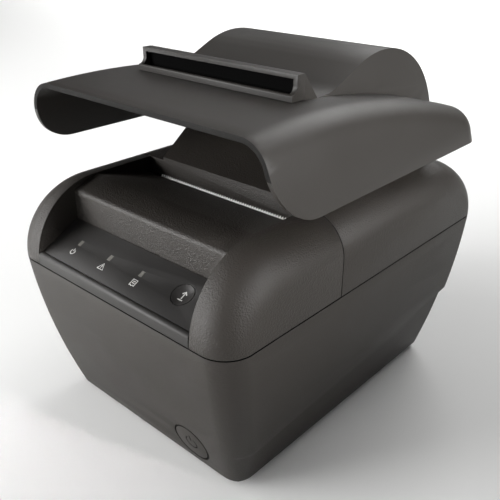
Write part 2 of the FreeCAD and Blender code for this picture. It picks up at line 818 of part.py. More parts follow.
def hump_solid(name, inset):
    """The raised part of the lid over the paper roll, drawn in by an inset."""
    radius = hump_radius - inset
    start_y = lid_front + inset
    start_z = top + s.strip_height - inset / cosine(s.hump_slope)
    crest_low_y = hump_y - radius * sine(s.hump_slope)
    crest_low_z = hump_z + radius * cosine(s.hump_slope)
    end_z = cover_low + s.arch_radius / 2
    end_y = hump_y + root(radius * radius - (end_z - hump_z) * (end_z - hump_z))
    profile = prism(
        f"{name}_profile",
        "YZ",
        [
            (start_y, mouth_top),
            (end_y, mouth_top),
            (end_y, end_z, radius, "left"),
            (crest_low_y, crest_low_z),
            (start_y, start_z + inset * sine(s.hump_slope)),
        ],
        -half_width,
        half_width,
    )
    front_half = tear_half - inset
    rear_half = s.hump_width / 2 - inset
    flare_y = lid_front + s.hump_flare
    plan = prism(
        f"{name}_plan",
        "XY",
        [
            (-front_half, start_y),
            (front_half, start_y),
            (rear_half, flare_y),
            (rear_half, back),
            (-rear_half, back),
            (-rear_half, flare_y),
        ],
        mouth_top,
        2 * top,
    )
    return shared(name, profile, plan)


def hump_front_at(y):
    """Height of the front slope of the hump."""
    return top + s.strip_height + (y - lid_front) * sine(s.hump_slope) / cosine(s.hump_slope)


def make_lid():
    outside = rear_part("lid_outside", outer_arch, lid_front)
    inside = rear_part("lid_inside", inner_arch, lid_front + s.wall)
    outer = fused("lid_outer", outside, hump_solid("hump", as_size(0)))
    inner = fused("lid_inner", inside, hump_solid("hump_hollow", s.wall))
    shell = cut("lid_shell", outer, inner)
    lugs = []
    for name, sign in (("left", -1), ("right", 1)):
        middle = sign * hinge_x
        reach = s.knuckle_width / 2 + s.fit_gap
        for place_name, low in (("in", middle - reach - s.lug_width), ("out", middle + reach)):
            lugs.append(
                rod(f"lug_{name}_{place_name}", s.hinge_radius, "X", (low, hinge_y, hinge_z), s.lug_width)
            )
            lugs.append(
                box(
                    f"lug_block_{name}_{place_name}",
                    (low, low + s.lug_width),
                    (hinge_y, back - s.wall / 2),
                    (hinge_z, hinge_z + s.hinge_radius),
                )
            )
    bosses = []
    for index, (x, y) in enumerate(bracket_screws):
        reach = hump_front_at(y) - s.wall / 2 - bracket_top
        bosses.append(rod(f"lid_boss_{index}", s.boss_radius, "Z", (x, y, bracket_top), reach))
    body = fused("lid_body", shell, *lugs, *bosses)
    mouth = box("lid_mouth", (-mouth_half, mouth_half), (face, lid_front + 2 * s.wall), (0, mouth_top))
    corner = box(
        "hinge_corner",
        (-s.case_width, s.case_width),
        (hinge_y, 2 * back),
        (0, hinge_z),
    )
    barrel = rod("hinge_barrel", s.hinge_radius, "X", (-s.case_width, hinge_y, hinge_z), 2 * s.case_width)
    relief = cut("hinge_relief", corner, barrel)
    notches = []
    for name, sign in (("left", -1), ("right", 1)):
        low = sign * hinge_x - s.knuckle_width / 2 - s.fit_gap
        notches.append(
            box(
                f"hinge_notch_{name}",
                (low, low + s.knuckle_width + 2 * s.fit_gap),
                (hinge_y - s.hinge_radius - 2 * s.fit_gap, 2 * back),
                (0, hinge_z + s.hinge_radius + 2 * s.fit_gap),
            )
        )
    pin_hole = rod("lug_hole", s.hinge_pin_radius, "X", (-half_width, hinge_y, hinge_z), s.case_width)
    inner_pin = shared("lug_hole_short", pin_hole, box(
        "lug_span",
        (-pin_end, pin_end),
        (hinge_y - s.hinge_radius, back),
        (0, 2 * top),
    ))
    holes = [
        rod(f"lid_screw_hole_{i}", s.screw_radius, "Z", (x, y, bracket_top), s.screw_length)
        for i, (x, y) in enumerate(bracket_screws)
    ]
    return node("lid", cut("lid_done", body, mouth, seam_cut, relief, *notches, inner_pin, *holes))


def make_hinge_pins():
    length = pin_end - pin_start
    pins = [
        rod(f"pin_{name}", s.hinge_pin_radius, "X", (low, hinge_y, hinge_z), length)
        for name, low in (("left", -pin_end), ("right", pin_start))
    ]
    return node("hinge_pins", group("pins", *pins))


# Control panel with its lights and button

def on_panel(run, lift):
    """The place (y, z) a run up the panel's slope and a lift off its face."""
    y = panel_front + run * cosine(s.panel_tilt) - lift * sine(s.panel_tilt)
    z = panel_low + run * sine(s.panel_tilt) + lift * cosine(s.panel_tilt)
    return y, z


def panel_block(name, x, run, lift):
    """A block between (low, high) pairs across the panel, up its slope and off its face."""
    solid = doc.addObject("Part::Box", name)
    solid.Placement = FreeCAD.Placement(Vector(), Rotation(Vector(1, 0, 0), s.panel_tilt.value))
    for side, (low, high) in zip(("Length", "Width", "Height"), (x, run, lift)):
        bind(solid, side, as_size(high) - low)
    place(solid, x[0], *on_panel(run[0], lift[0]))
    return solid


def panel_rod(name, radius, x, run, low, high):
    """A cylinder square to the panel's face between two lifts off it."""
    solid = doc.addObject("Part::Cylinder", name)
    solid.Placement = FreeCAD.Placement(Vector(), Rotation(Vector(1, 0, 0), s.panel_tilt.value))
    bind(solid, "Radius", radius)
    bind(solid, "Height", as_size(high) - low)
    place(solid, x, *on_panel(run, low))
    return solid


board_lift = -(s.feed_depth + s.feed_travel + s.fit_gap)
light_places = (
    ("power_light", s.power_light_x),
    ("error_light", s.error_light_x),
    ("paper_light", s.paper_light_x),
)


def light_block(name, x, gap, low, high):
    return panel_block(
        name,
        (x - s.light_width / 2 - gap, x + s.light_width / 2 + gap),
        (s.light_run - s.light_length / 2 - gap, s.light_run + s.light_length / 2 + gap),
        (low, high),
    )


def make_control_panel():
    half = well_half - s.fit_gap
    end_y, end_z = on_panel(s.panel_length - s.fit_gap, as_size(0))
    drop = s.panel_thickness / cosine(s.panel_tilt)
    lip_back = face + s.wall
    plate = prism(
        "panel_plate",
        "YZ",
        [
            (face, cover_low),
            (lip_back, cover_low),
            (lip_back, panel_low - drop),
            (panel_front, panel_low - drop),
            (end_y, end_z - drop),
            (end_y, end_z),
            (panel_front, panel_low),
            (panel_front - s.fit_gap, panel_low - s.fit_gap),
            (face + s.lip_height / 3, panel_low, s.lip_height / 3, "left"),
            (face, panel_low - s.lip_height / 3),
        ],
        -half,
        half,
    )
    holes = [
        light_block(f"{name}_hole", x, s.running_gap, -2 * s.panel_thickness, s.panel_thickness)
        for name, x in light_places
    ]
    holes.append(
        panel_rod(
            "feed_hole",
            s.feed_radius + s.fit_gap,
            s.feed_x,
            s.light_run,
            -2 * s.panel_thickness,
            s.panel_thickness,
        )
    )
    node("control_panel", cut("control_panel_done", plate, *holes))
    for name, x in light_places:
        node(name, light_block(f"{name}_block", x, as_size(0), board_lift, as_size(0)))
    node(
        "panel_board",
        panel_block(
            "panel_board_plate",
            (-s.panel_board_width / 2, s.panel_board_width / 2),
            (s.light_run - s.panel_board_length / 2, s.light_run + s.panel_board_length / 2),
            (board_lift - s.board_thickness, board_lift),
        ),
    )


def make_feed_button():
    stem = panel_rod("feed_stem", s.feed_radius, s.feed_x, s.light_run, -s.feed_depth, as_size(0))
    flange_top = -s.panel_thickness - s.fit_gap
    flange = panel_rod(
        "feed_flange",
        s.feed_radius + s.panel_thickness / 2,
        s.feed_x,
        s.light_run,
        flange_top - s.panel_thickness / 2,
        flange_top,
    )
    dish = doc.addObject("Part::Sphere", "feed_dish")
    bind(dish, "Radius", s.feed_dish)
    centre = root(s.feed_dish * s.feed_dish - s.feed_radius * s.feed_radius)
    place(dish, s.feed_x, *on_panel(s.light_run, centre))
    node("feed_button", cut("feed_button_done", fused("feed_solid", stem, flange), dish))


def make_power_button():
    cap = power_axis("power_cap", s.power_radius, -s.power_depth, 2 * s.power_depth)
    node("power_button", shared("power_button_done", cap, outer_case))


# Gears

PRESSURE_ANGLE = math.radians(20)


def involute(radius, base):
    slope = math.acos(min(base / radius, 1))
    return math.tan(slope) - slope


def polar(radius, angle):
    return Vector(radius * math.cos(angle), radius * math.sin(angle), 0)


def gear_outline(teeth, phase):
    """The face of a spur gear with arcs for its involute flanks; one tooth points along phase."""
    module = s.gear_module.value
    pitch = module * teeth / 2
    base = pitch * math.cos(PRESSURE_ANGLE)
    tip = pitch + module
    foot = pitch - 1.25 * module
    low = max(base, foot)
    half = math.pi / (2 * teeth) - s.backlash.value / (4 * pitch) + involute(pitch, base)
    spread = {radius: half - involute(radius, base) for radius in (low, (low + tip) / 2, tip)}
    radii = sorted(spread)
    edges = []
    for tooth in range(teeth):
        centre = phase + 2 * math.pi * tooth / teeth
        following = centre + 2 * math.pi / teeth
        right = [polar(radius, centre - spread[radius]) for radius in radii]
        left = [polar(radius, centre + spread[radius]) for radius in radii]
        foot_left = polar(foot, centre + spread[low])
        foot_next = polar(foot, following - spread[low])
        edges.append(Part.Arc(*right).toShape())
        edges.append(Part.Arc(right[2], polar(tip, centre), left[2]).toShape())
        edges.append(Part.Arc(left[2], left[1], left[0]).toShape())
        edges.append(Part.makeLine(left[0], foot_left))
        edges.append(Part.Arc(foot_left, polar(foot, centre + math.pi / teeth), foot_next).toShape())
        edges.append(Part.makeLine(foot_next, polar(low, following - spread[low])))
    return Part.Face(Part.Wire(edges))


def gear_solid(teeth, phase, bore, width):
    blank = gear_outline(teeth, phase).extrude(Vector(0, 0, width))
    return blank.cut(Part.makeCylinder(bore, width))


def gear_feature(name, shape, axis, start):
    """Teeth made by formula, laid along X or left along Z, at a place."""
    solid = doc.addObject("Part::Feature", name)
    solid.Shape = shape
    turn = PLANES["YZ"][0] if axis == "X" else Rotation()
    solid.Placement = FreeCAD.Placement(Vector(*(as_size(place_at).value for place_at in start)), turn)
    return solid


def count(size):
    return int(round(size.value))


def pitch_radius(teeth):
    return s.gear_module * teeth / 2


hinge_reach_y = platen_y - hinge_y
hinge_reach_z = platen_z - hinge_z
hinge_reach = root(hinge_reach_y * hinge_reach_y + hinge_reach_z * hinge_reach_z)
platen_to_idler = pitch_radius(s.platen_teeth + s.idler_teeth)
idler_y = platen_y - platen_to_idler * hinge_reach_z / hinge_reach
idler_z = platen_z + platen_to_idler * hinge_reach_y / hinge_reach
idler_to_motor = pitch_radius(s.idler_teeth + s.pinion_teeth)
motor_y = idler_y + idler_to_motor * cosine(s.motor_angle)
motor_z = idler_z - idler_to_motor * sine(s.motor_angle)


def make_feed_train():
    idler_up = math.atan2(platen_z.value - idler_z.value, platen_y.value - idler_y.value)
    idler_down = -math.radians(s.motor_angle.value)
    idler_step = 2 * math.pi / count(s.idler_teeth)
    platen_phase = idler_up + math.pi - math.pi / count(s.platen_teeth)
    share = ((idler_down - idler_up) % idler_step) / idler_step
    pinion_phase = idler_down + math.pi + (share + 0.5) * 2 * math.pi / count(s.pinion_teeth)
    width = s.gear_width.value
    platen_gear = gear_solid(count(s.platen_teeth), platen_phase, s.platen_shaft_radius.value, width)
    node("platen_gear", gear_feature("platen_gear_teeth", platen_gear, "X", (gear_low, platen_y, platen_z)))
    idler_bore = s.stud_radius.value + s.running_gap.value
    idler = gear_solid(count(s.idler_teeth), idler_up, idler_bore, width)
    node("idler_gear", gear_feature("idler_teeth", idler, "X", (gear_low, idler_y, idler_z)))
    pinion = gear_solid(count(s.pinion_teeth), pinion_phase, s.shaft_radius.value, width)
    node("motor_pinion", gear_feature("pinion_teeth", pinion, "X", (gear_low, motor_y, motor_z)))
    reach = gear_high - frame_half + s.side_gap
    stud = rod("stud_shank", s.stud_radius, "X", (frame_half, idler_y, idler_z), reach)
    stud_head = rod(
        "stud_head",
        1.5 * s.stud_radius,
        "X",
        (gear_high + s.side_gap / 2, idler_y, idler_z),
        s.side_gap,
    )
    node("idler_stud", fused("idler_stud_done", stud, stud_head))
    motor_front = frame_half - s.motor_length
    can = rod("motor_can", s.motor_radius, "X", (motor_front, motor_y, motor_z), s.motor_length)
    pilot = rod("motor_pilot", 3 * s.shaft_radius, "X", (frame_half, motor_y, motor_z), s.sheet_thickness)
    bore = rod(
        "motor_bore",
        s.shaft_radius + s.running_gap,
        "X",
        (motor_front + s.wall, motor_y, motor_z),
        s.motor_length,
    )
    node("feed_motor", cut("feed_motor_done", fused("motor_solid", can, pilot), bore))
    node(
        "motor_shaft",
        rod(
            "motor_shaft_rod",
            s.shaft_radius,
            "X",
            (motor_front + s.wall + s.fit_gap, motor_y, motor_z),
            gear_high - motor_front - s.wall,
        ),
    )


def make_platen():
    half = s.roll_width / 2
    left = bucket_half + s.bracket_thickness + s.side_gap
    node(
        "platen_shaft",
        rod(
            "platen_shaft_rod",
            s.platen_shaft_radius,
            "X",
            (-left, platen_y, platen_z),
            left + gear_high + s.side_gap / 2,
        ),
    )
    tube = rod("roller_tube", s.platen_radius, "X", (-half, platen_y, platen_z), s.roll_width)
    core = rod("roller_core", s.platen_shaft_radius, "X", (-half, platen_y, platen_z), s.roll_width)
    node("platen_roller", cut("platen_roller_done", tube, core))
    bushes = []
    for name, sign in (("left", -1), ("right", 1)):
        near = sign * bucket_half
        out = sign * (bucket_half + s.bracket_thickness)
        start = near if sign == 1 else out
        barrel = rod(f"bush_{name}", s.bush_radius, "X", (start, platen_y, platen_z), s.bracket_thickness)
        rim = near - s.side_gap if sign == 1 else near
        flange = rod(f"bush_rim_{name}", s.bush_flange, "X", (rim, platen_y, platen_z), s.side_gap)
        hole = rod(
            f"bush_hole_{name}",
            s.platen_shaft_radius + s.running_gap,
            "X",
            (start - s.bush_flange, platen_y, platen_z),
            3 * s.bush_flange,
        )
        bushes.append(cut(f"bush_{name}_done", fused(f"bush_{name}_solid", barrel, flange), hole))
    node("platen_bushes", group("bush_pair", *bushes))


def make_platen_bracket():
    front = lid_front + s.fit_gap
    rear = bracket_screws[0][1] + 2 * s.boss_radius
    outer = bucket_half + s.bracket_thickness
    plate = box("bracket_plate", (-outer, outer), (front, rear), (bracket_low, bracket_top))
    cheeks = []
    drop = platen_z - s.bush_flange
    for name, sign in (("left", -1), ("right", 1)):
        low = bucket_half if sign == 1 else -outer
        cheeks.append(
            prism(
                f"bracket_cheek_{name}",
                "YZ",
                [
                    (front, bracket_top),
                    (front, platen_z),
                    (platen_y - s.bush_radius / 2, drop),
                    (platen_y + s.bush_radius, drop),
                    (rear, bracket_low),
                    (rear, bracket_top),
                ],
                low,
                low + s.bracket_thickness,
            )
        )
    solid = fused("bracket_solid", plate, *cheeks)
    bush_hole = rod("bracket_bush_hole", s.bush_radius, "X", (-outer, platen_y, platen_z), 2 * outer)
    holes = [
        rod(f"bracket_hole_{i}", s.screw_radius, "Z", (x, y, bracket_low), s.bracket_thickness)
        for i, (x, y) in enumerate(bracket_screws)
    ]
    node("platen_bracket", cut("platen_bracket_done", solid, bush_hole, *holes))
    screws = [screw(f"bracket_screw_{i}", x, y, bracket_low) for i, (x, y) in enumerate(bracket_screws)]
    node("bracket_screws", group("bracket_screw_pair", *screws))
    node(
        "fixed_blade",
        box(
            "fixed_blade_plate",
            (-s.roll_width / 2, s.roll_width / 2),
            (front, bracket_screws[0][1] - s.screw_head_radius - s.fit_gap),
            (fixed_blade_low, bracket_low),
        ),
    )


# Print head and its frame

head_face = paper_y - s.nip_gap
head_back = head_face - s.head_depth
head_low = platen_z - 0.7 * s.head_height
head_high = head_low + s.head_height
pivot_y = head_back + s.head_depth / 3
pivot_z = platen_z - s.head_pivot_drop
cutter_low = fixed_blade_low - 2 * s.blade_gap - s.blade_thickness - s.bracket_thickness
cutter_top = cutter_low + s.bracket_thickness
frame_top = cutter_low
wall_back = frame_front_y + s.sheet_thickness
cheek_top = platen_z - s.platen_shaft_radius - s.fit_gap


def make_print_frame():
    outer = frame_half + s.sheet_thickness
    cheeks = []
    for name, sign in (("left", -1), ("right", 1)):
        low = frame_half if sign == 1 else -outer
        cheeks.append(
            prism(
                f"frame_cheek_{name}",
                "YZ",
                [
                    (frame_front_y, frame_low),
                    (frame_rear_y, frame_low),
                    (frame_rear_y, motor_z),
                    (platen_y + s.bush_radius, cheek_top),
                    (head_back, cheek_top),
                    (head_back, frame_top),
                    (frame_front_y, frame_top),
                ],
                low,
                low + s.sheet_thickness,
            )
        )
    floor = box(
        "frame_floor",
        (-outer, outer),
        (frame_front_y, frame_rear_y),
        (frame_low, frame_low + s.sheet_thickness),
    )
    front = box("frame_front", (-outer, outer), (frame_front_y, wall_back), (frame_low, frame_top))
    solid = fused("frame_solid", floor, front, *cheeks)
    pin_hole = rod("head_pin_hole", s.head_pin_radius, "X", (-outer, pivot_y, pivot_z), 2 * outer)
    stud_hole = rod("stud_hole", s.stud_radius, "X", (frame_half, idler_y, idler_z), s.sheet_thickness)
    pilot_hole = rod(
        "pilot_hole",
        3 * s.shaft_radius,
        "X",
        (frame_half, motor_y, motor_z),
        s.sheet_thickness,
    )
    holes = [
        rod(f"frame_hole_{i}", s.screw_radius, "Z", (x, y, frame_low), s.sheet_thickness)
        for i, (x, y) in enumerate(post_places)
    ]
    node("print_frame", cut("print_frame_done", solid, pin_hole, stud_hole, pilot_hole, *holes))
    seat = frame_low + s.sheet_thickness
    screws = [screw(f"frame_screw_{i}", x, y, seat, -1) for i, (x, y) in enumerate(post_places)]
    node("frame_screws", group("frame_screw_set", *screws))
    node("head_pin", rod("head_pin_rod", s.head_pin_radius, "X", (-outer, pivot_y, pivot_z), 2 * outer))


def make_print_head():
    half = s.roll_width / 2
    groove = s.head_height / 8
    fins = []
    for index in range(3):
        low = head_low + (2 * index + 1.5) * groove
        fins.append((head_back, low))
        fins.append((head_back + s.head_depth / 3, low))
        fins.append((head_back + s.head_depth / 3, low + groove))
        fins.append((head_back, low + groove))
    sink = prism(
        "head_sink",
        "YZ",
        [
            (head_face, head_low),
            (head_face, head_high),
            (head_back, head_high),
            *fins[::-1],
            (head_back, head_low),
        ],
        -half,
        half,
    )
    lugs = []
    for name, sign in (("left", -1), ("right", 1)):
        low = half - 2 * s.head_lug_width if sign == 1 else s.head_lug_width - half
        lugs.append(
            rod(f"head_lug_{name}", 2 * s.head_pin_radius, "X", (low, pivot_y, pivot_z), s.head_lug_width)
        )
        lugs.append(
            box(
                f"head_arm_{name}",
                (low, low + s.head_lug_width),
                (pivot_y - 2 * s.head_pin_radius, pivot_y + 2 * s.head_pin_radius),
                (pivot_z, head_low + groove),
            )
        )
    hole = rod(
        "head_lug_hole",
        s.head_pin_radius + s.running_gap,
        "X",
        (-half, pivot_y, pivot_z),
        s.roll_width,
    )
    node("thermal_head", cut("thermal_head_done", fused("head_solid", sink, *lugs), hole))
    tip = head_back - s.fit_gap
    spring = prism(
        "head_spring_leaf",
        "YZ",
        [
            (wall_back, head_low),
            (wall_back + s.spring_thickness, head_low),
            (wall_back + s.spring_thickness, head_high - 4 * s.spring_thickness),
            (tip - s.spring_thickness, platen_z - s.spring_thickness),
            (tip, platen_z),
            (wall_back + 3 * s.spring_thickness, head_high),
            (wall_back, head_high),
        ],
        -s.spring_width / 2,
        s.spring_width / 2,
    )
    node("head_spring", spring)


# Cutter

blade_low = cutter_top + s.blade_gap
blade_high = blade_low + s.blade_thickness
blade_edge = paper_y - s.blade_rest
tail_end = blade_edge - s.tail_length
cutter_y = frame_front_y - s.cutter_motor_radius - s.side_gap
rack_x = s.roll_width / 2 - s.rack_inset
cutter_x = rack_x + pitch_radius(s.pinion_teeth)
guide_inner = s.roll_width / 2 + s.fit_gap
guide_outer = guide_inner + s.rail_wall
rack_high = blade_high + s.rack_rise


def rack_points(low, high, middle):
    """Corners of a rack's teeth along Y from low to high, with a tooth on middle."""
    module = s.gear_module.value
    step = math.pi * module
    lean = math.tan(PRESSURE_ANGLE)
    half = step / 4 - s.backlash.value / 4
    line = rack_x.value
    points = []
    for tooth in range(math.ceil((low - middle) / step) + 1, math.floor((high - middle) / step)):
        y = middle + tooth * step
        points.append(Vector(line - 1.25 * module, y - half - 1.25 * module * lean, 0))
        points.append(Vector(line + module, y - half + module * lean, 0))
        points.append(Vector(line + module, y + half - module * lean, 0))
        points.append(Vector(line - 1.25 * module, y + half + 1.25 * module * lean, 0))
    return points


def make_cutter():
    base = box(
        "cutter_base_plate",
        (-guide_outer, guide_outer),
        (tail_end - s.wall, head_back + s.head_depth / 2),
        (cutter_low, cutter_top),
    )
    guides = [
        box(
            f"cutter_guide_{name}",
            (sign * guide_inner, sign * guide_outer) if sign == 1 else (-guide_outer, -guide_inner),
            (tail_end - s.wall, head_back + s.head_depth / 2),
            (cutter_low, blade_high),
        )
        for name, sign in (("left", -1), ("right", 1))
    ]
    hole = rod("cutter_hole", 2 * s.shaft_radius, "Z", (cutter_x, cutter_y, cutter_low), s.bracket_thickness)
    node("cutter_base", cut("cutter_base_done", fused("cutter_base_solid", base, *guides), hole))
    half = s.roll_width.value / 2
    edge = blade_edge.value
    wing = edge - s.wing_length.value
    end = tail_end.value
    line = rack_x.value - 1.25 * s.gear_module.value
    plate = Part.makePolygon([
        Vector(-half, edge, 0),
        Vector(0, edge - s.blade_vee.value, 0),
        Vector(half, edge, 0),
        Vector(half, wing, 0),
        Vector(line, wing, 0),
        Vector(line, end, 0),
        Vector(-half, end, 0),
        Vector(-half, edge, 0),
    ])
    teeth = rack_points(end, wing, cutter_y.value)
    inner = line - rack_x.value / 4
    strip = [Vector(inner, end, 0), Vector(line, end, 0)] + teeth
    strip += [Vector(line, wing, 0), Vector(inner, wing, 0), Vector(inner, end, 0)]
    blade = Part.Face(plate).extrude(Vector(0, 0, s.blade_thickness.value))
    rack = Part.Face(Part.makePolygon(strip)).extrude(Vector(0, 0, (rack_high - blade_low).value))
    blade = blade.fuse(rack).removeSplitter()
    moving = doc.addObject("Part::Feature", "cutter_blade_plate")
    moving.Shape = blade
    moving.Placement = FreeCAD.Placement(Vector(0, 0, blade_low.value), Rotation())
    node("cutter_blade", moving)
    teeth_number = count(s.pinion_teeth)
    phase = math.pi - math.pi / teeth_number
    pinion = gear_solid(teeth_number, phase, s.shaft_radius.value, (rack_high - blade_low).value)
    node("cutter_pinion", gear_feature("cutter_pinion_teeth", pinion, "Z", (cutter_x, cutter_y, blade_low)))
    motor_low = cutter_low - s.cutter_motor_length
    can_at = (cutter_x, cutter_y, motor_low)
    can = rod("cutter_can", s.cutter_motor_radius, "Z", can_at, s.cutter_motor_length)
    bore = rod(
        "cutter_bore",
        s.shaft_radius + s.running_gap,
        "Z",
        (cutter_x, cutter_y, motor_low + s.wall),
        s.cutter_motor_length,
    )
    node("cutter_motor", cut("cutter_motor_done", can, bore))
    node(
        "cutter_shaft",
        rod(
            "cutter_shaft_rod",
            s.shaft_radius,
            "Z",
            (cutter_x, cutter_y, motor_low + s.wall + s.fit_gap),
            rack_high - motor_low - s.wall - s.fit_gap,
        ),
    )


def make_tear_bar():
    half = tear_half.value
    pitch = s.tooth_pitch.value
    number = int(2 * half // pitch)
    start = -number * pitch / 2
    tip = tear_tip.value
    foot = tip - s.tooth_depth.value
    front = (tear_front + s.fit_gap / 3).value
    points = [Vector(-half, front, 0), Vector(-half, foot, 0)]
    for tooth in range(number):
        points.append(Vector(start + tooth * pitch, foot, 0))
        points.append(Vector(start + (tooth + 0.5) * pitch, tip, 0))
    points += [Vector(-start, foot, 0), Vector(half, foot, 0)]
    points += [Vector(half, front, 0), Vector(-half, front, 0)]
    corners = [points[0]]
    for point in points[1:]:
        if (point - corners[-1]).Length > s.running_gap.value:
            corners.append(point)
    bar = doc.addObject("Part::Feature", "tear_bar_strip")
    bar.Shape = Part.Face(Part.makePolygon(corners)).extrude(Vector(0, 0, s.tear_thickness.value))
    bar.Placement = FreeCAD.Placement(Vector(0, 0, tear_seat.value), Rotation())
    node("tear_bar", bar)


# Paper bucket

def make_paper_bucket():
    outer = rod(
        "bucket_outer",
        bucket_radius + s.bucket_wall,
        "X",
        (-bucket_side, roll_y, roll_z),
        2 * bucket_side,
    )
    inner = rod(
        "bucket_inner",
        bucket_radius,
        "X",
        (-bucket_half, roll_y, roll_z),
        2 * bucket_half,
    )
    above = box("bucket_above", (-half_width, half_width), (face, back), (roll_z, 2 * top))
    front_y = roll_y - bucket_radius
    guide = prism(
        "paper_guide",
        "YZ",
        [
            (front_y - s.bucket_wall, roll_z - 2 * s.bucket_wall),
            (front_y, roll_z - 2 * s.bucket_wall),
            (front_y, roll_z),
            (platen_y + 2 * s.platen_radius + s.bucket_wall, platen_z - s.platen_radius),
            (platen_y + 2 * s.platen_radius, platen_z - s.platen_radius),
            (front_y - s.bucket_wall, roll_z),
        ],
        -s.roll_width / 2,
        s.roll_width / 2,
    )
    flanges = [
        box(
            f"flange_{name}",
            (bucket_side, flange_edge) if sign == 1 else (-flange_edge, -bucket_side),
            (roll_y - bucket_radius * 0.7, roll_y + bucket_radius * 0.7),
            (flange_low, flange_low + s.bucket_wall),
        )
        for name, sign in (("left", -1), ("right", 1))
    ]
    trough = cut("bucket_trough", outer, inner, above)
    node("paper_bucket", fused("paper_bucket_done", trough, guide, *flanges))


# Boards and ports

def port_box(name, middle, width, height, front, rear, low=board_top):
    return box(name, (middle - width / 2, middle + width / 2), (front, rear), (low, low + height))


def make_boards():
    plate = box(
        "main_board_plate",
        (-board_half, board_half),
        (board_front, board_rear),
        (board_low, board_top),
    )
    holes = [
        rod(f"board_hole_{i}", s.screw_radius, "Z", (x, y, board_low), s.board_thickness)
        for i, (x, y) in enumerate(boss_places)
    ]
    holes += [
        rod(f"board_notch_{i}", s.post_radius + s.fit_gap, "Z", (x, y, board_low), s.board_thickness)
        for i, (x, y) in enumerate(post_places)
    ]
    node("main_board", cut("main_board_done", plate, *holes))
    screws = [screw(f"board_screw_{i}", x, y, board_top, -1) for i, (x, y) in enumerate(boss_places)]
    node("board_screws", group("board_screw_set", *screws))


def make_ports():
    rear = plate_y - s.running_gap
    front = rear - s.socket_depth
    out = plate_y + s.plate_thickness + s.socket_reach
    nose_z = board_top + s.inlet_width / 2
    inlet = fused(
        "inlet_solid",
        port_box("inlet_block", s.inlet_x, s.inlet_width, s.inlet_width, front, rear),
        rod("inlet_nose", s.inlet_radius, "Y", (s.inlet_x, front, nose_z), out - front),
    )
    bore_at = (s.inlet_x, front + s.wall, nose_z)
    inlet_bore = rod("inlet_bore", s.inlet_bore, "Y", bore_at, s.socket_depth * 2)
    inlet_pin = rod("inlet_pin", s.inlet_pin, "Y", (s.inlet_x, front, nose_z), s.socket_depth)
    node("power_inlet", fused("power_inlet_done", cut("inlet_hollow", inlet, inlet_bore), inlet_pin))

    shell = port_box("usb_block", s.usb_x, s.usb_width, s.usb_height, front, out)
    cavity = port_box(
        "usb_cavity",
        s.usb_x,
        s.usb_width - 2 * s.usb_shell,
        s.usb_height - 2 * s.usb_shell,
        front + s.wall,
        2 * out,
        board_top + s.usb_shell,
    )
    tongue = port_box(
        "usb_tongue",
        s.usb_x,
        s.usb_width / 2,
        s.usb_height / 3,
        front,
        plate_y,
        board_top + s.usb_height / 3,
    )
    node("usb_socket", fused("usb_socket_done", cut("usb_hollow", shell, cavity), tongue))

    block = port_box("serial_block", s.serial_x, s.serial_width, s.serial_height, front, rear)
    middle_z = board_top + s.serial_height / 2
    nose_half = s.serial_nose / 2
    nose_rise = s.serial_height / 3
    nose = prism(
        "serial_nose",
        "XZ",
        [
            (s.serial_x - nose_half + s.plate_thickness, middle_z - nose_rise),
            (s.serial_x + nose_half - s.plate_thickness, middle_z - nose_rise),
            (s.serial_x + nose_half, middle_z + nose_rise),
            (s.serial_x - nose_half, middle_z + nose_rise),
        ],
        front,
        out + s.socket_reach,
    )
    node("serial_socket", fused("serial_socket_done", block, nose))

    jack = port_box("drawer_block", s.drawer_x, s.drawer_width, s.drawer_width, front, out)
    mouth = port_box(
        "drawer_mouth",
        s.drawer_x,
        s.drawer_mouth_width,
        s.drawer_mouth_height,
        front + s.wall,
        2 * out,
        board_top + (s.drawer_width - s.drawer_mouth_height) / 2,
    )
    node("drawer_socket", cut("drawer_socket_done", jack, mouth))

    plate = box(
        "port_plate_sheet",
        (s.fit_gap - bay_half, bay_half - s.fit_gap),
        (plate_y, plate_y + s.plate_thickness),
        (s.bay_low + s.fit_gap, bay_high - s.fit_gap),
    )
    low = plate_y - s.wall
    high = plate_y + s.wall
    gap = s.fit_gap
    cuts = [
        rod("inlet_window", s.inlet_radius + gap, "Y", (s.inlet_x, low, nose_z), 2 * s.wall),
        port_box(
            "usb_window",
            s.usb_x,
            s.usb_width + 2 * gap,
            s.usb_height + 2 * gap,
            low,
            high,
            board_top - gap,
        ),
        port_box(
            "drawer_window",
            s.drawer_x,
            s.drawer_width + 2 * gap,
            s.drawer_width + 2 * gap,
            low,
            high,
            board_top - gap,
        ),
        port_box(
            "serial_window",
            s.serial_x,
            s.serial_nose + 2 * gap,
            2 * nose_rise + 2 * gap,
            low,
            high,
            middle_z - nose_rise - gap,
        ),
    ]
    node("port_plate", cut("port_plate_done", plate, *cuts))


# Hood and ticket rail

hood_crown = hump_z + hump_radius + s.hood_lift
hood_skirt = hood_crown - s.hood_height
hood_front = face + s.hood_setback
hood_rear = back - s.hood_rear_setback
crown_y = hood_rear - s.crown_setback
band_radius = hump_radius + s.band_gap
band_top = hood_crown + s.band_rise
band_y = roll_y - s.band_offset
band_z = band_top - band_radius
band_peak_y = band_y - band_radius * sine(s.band_slope)
band_peak_z = band_z + band_radius * cosine(s.band_slope)
valley_z = hood_crown - s.valley_drop
dip_z = valley_z + s.valley_radius * (1 - cosine(s.band_slope))
dip_y = band_peak_y - (band_peak_z - dip_z) * cosine(s.band_slope) / sine(s.band_slope)
valley_y = dip_y - s.valley_radius * sine(s.band_slope)
wedge_front = valley_y - s.valley_run - s.wedge_run
rail_low = hood_crown
rail_high = rail_low + s.rail_height
rail_back = wedge_front - s.fit_gap
rail_front = rail_back - s.rail_depth


def crown_at(y, radius, crown):
    offset = y - crown_y
    return crown - radius + root(radius * radius - offset * offset)


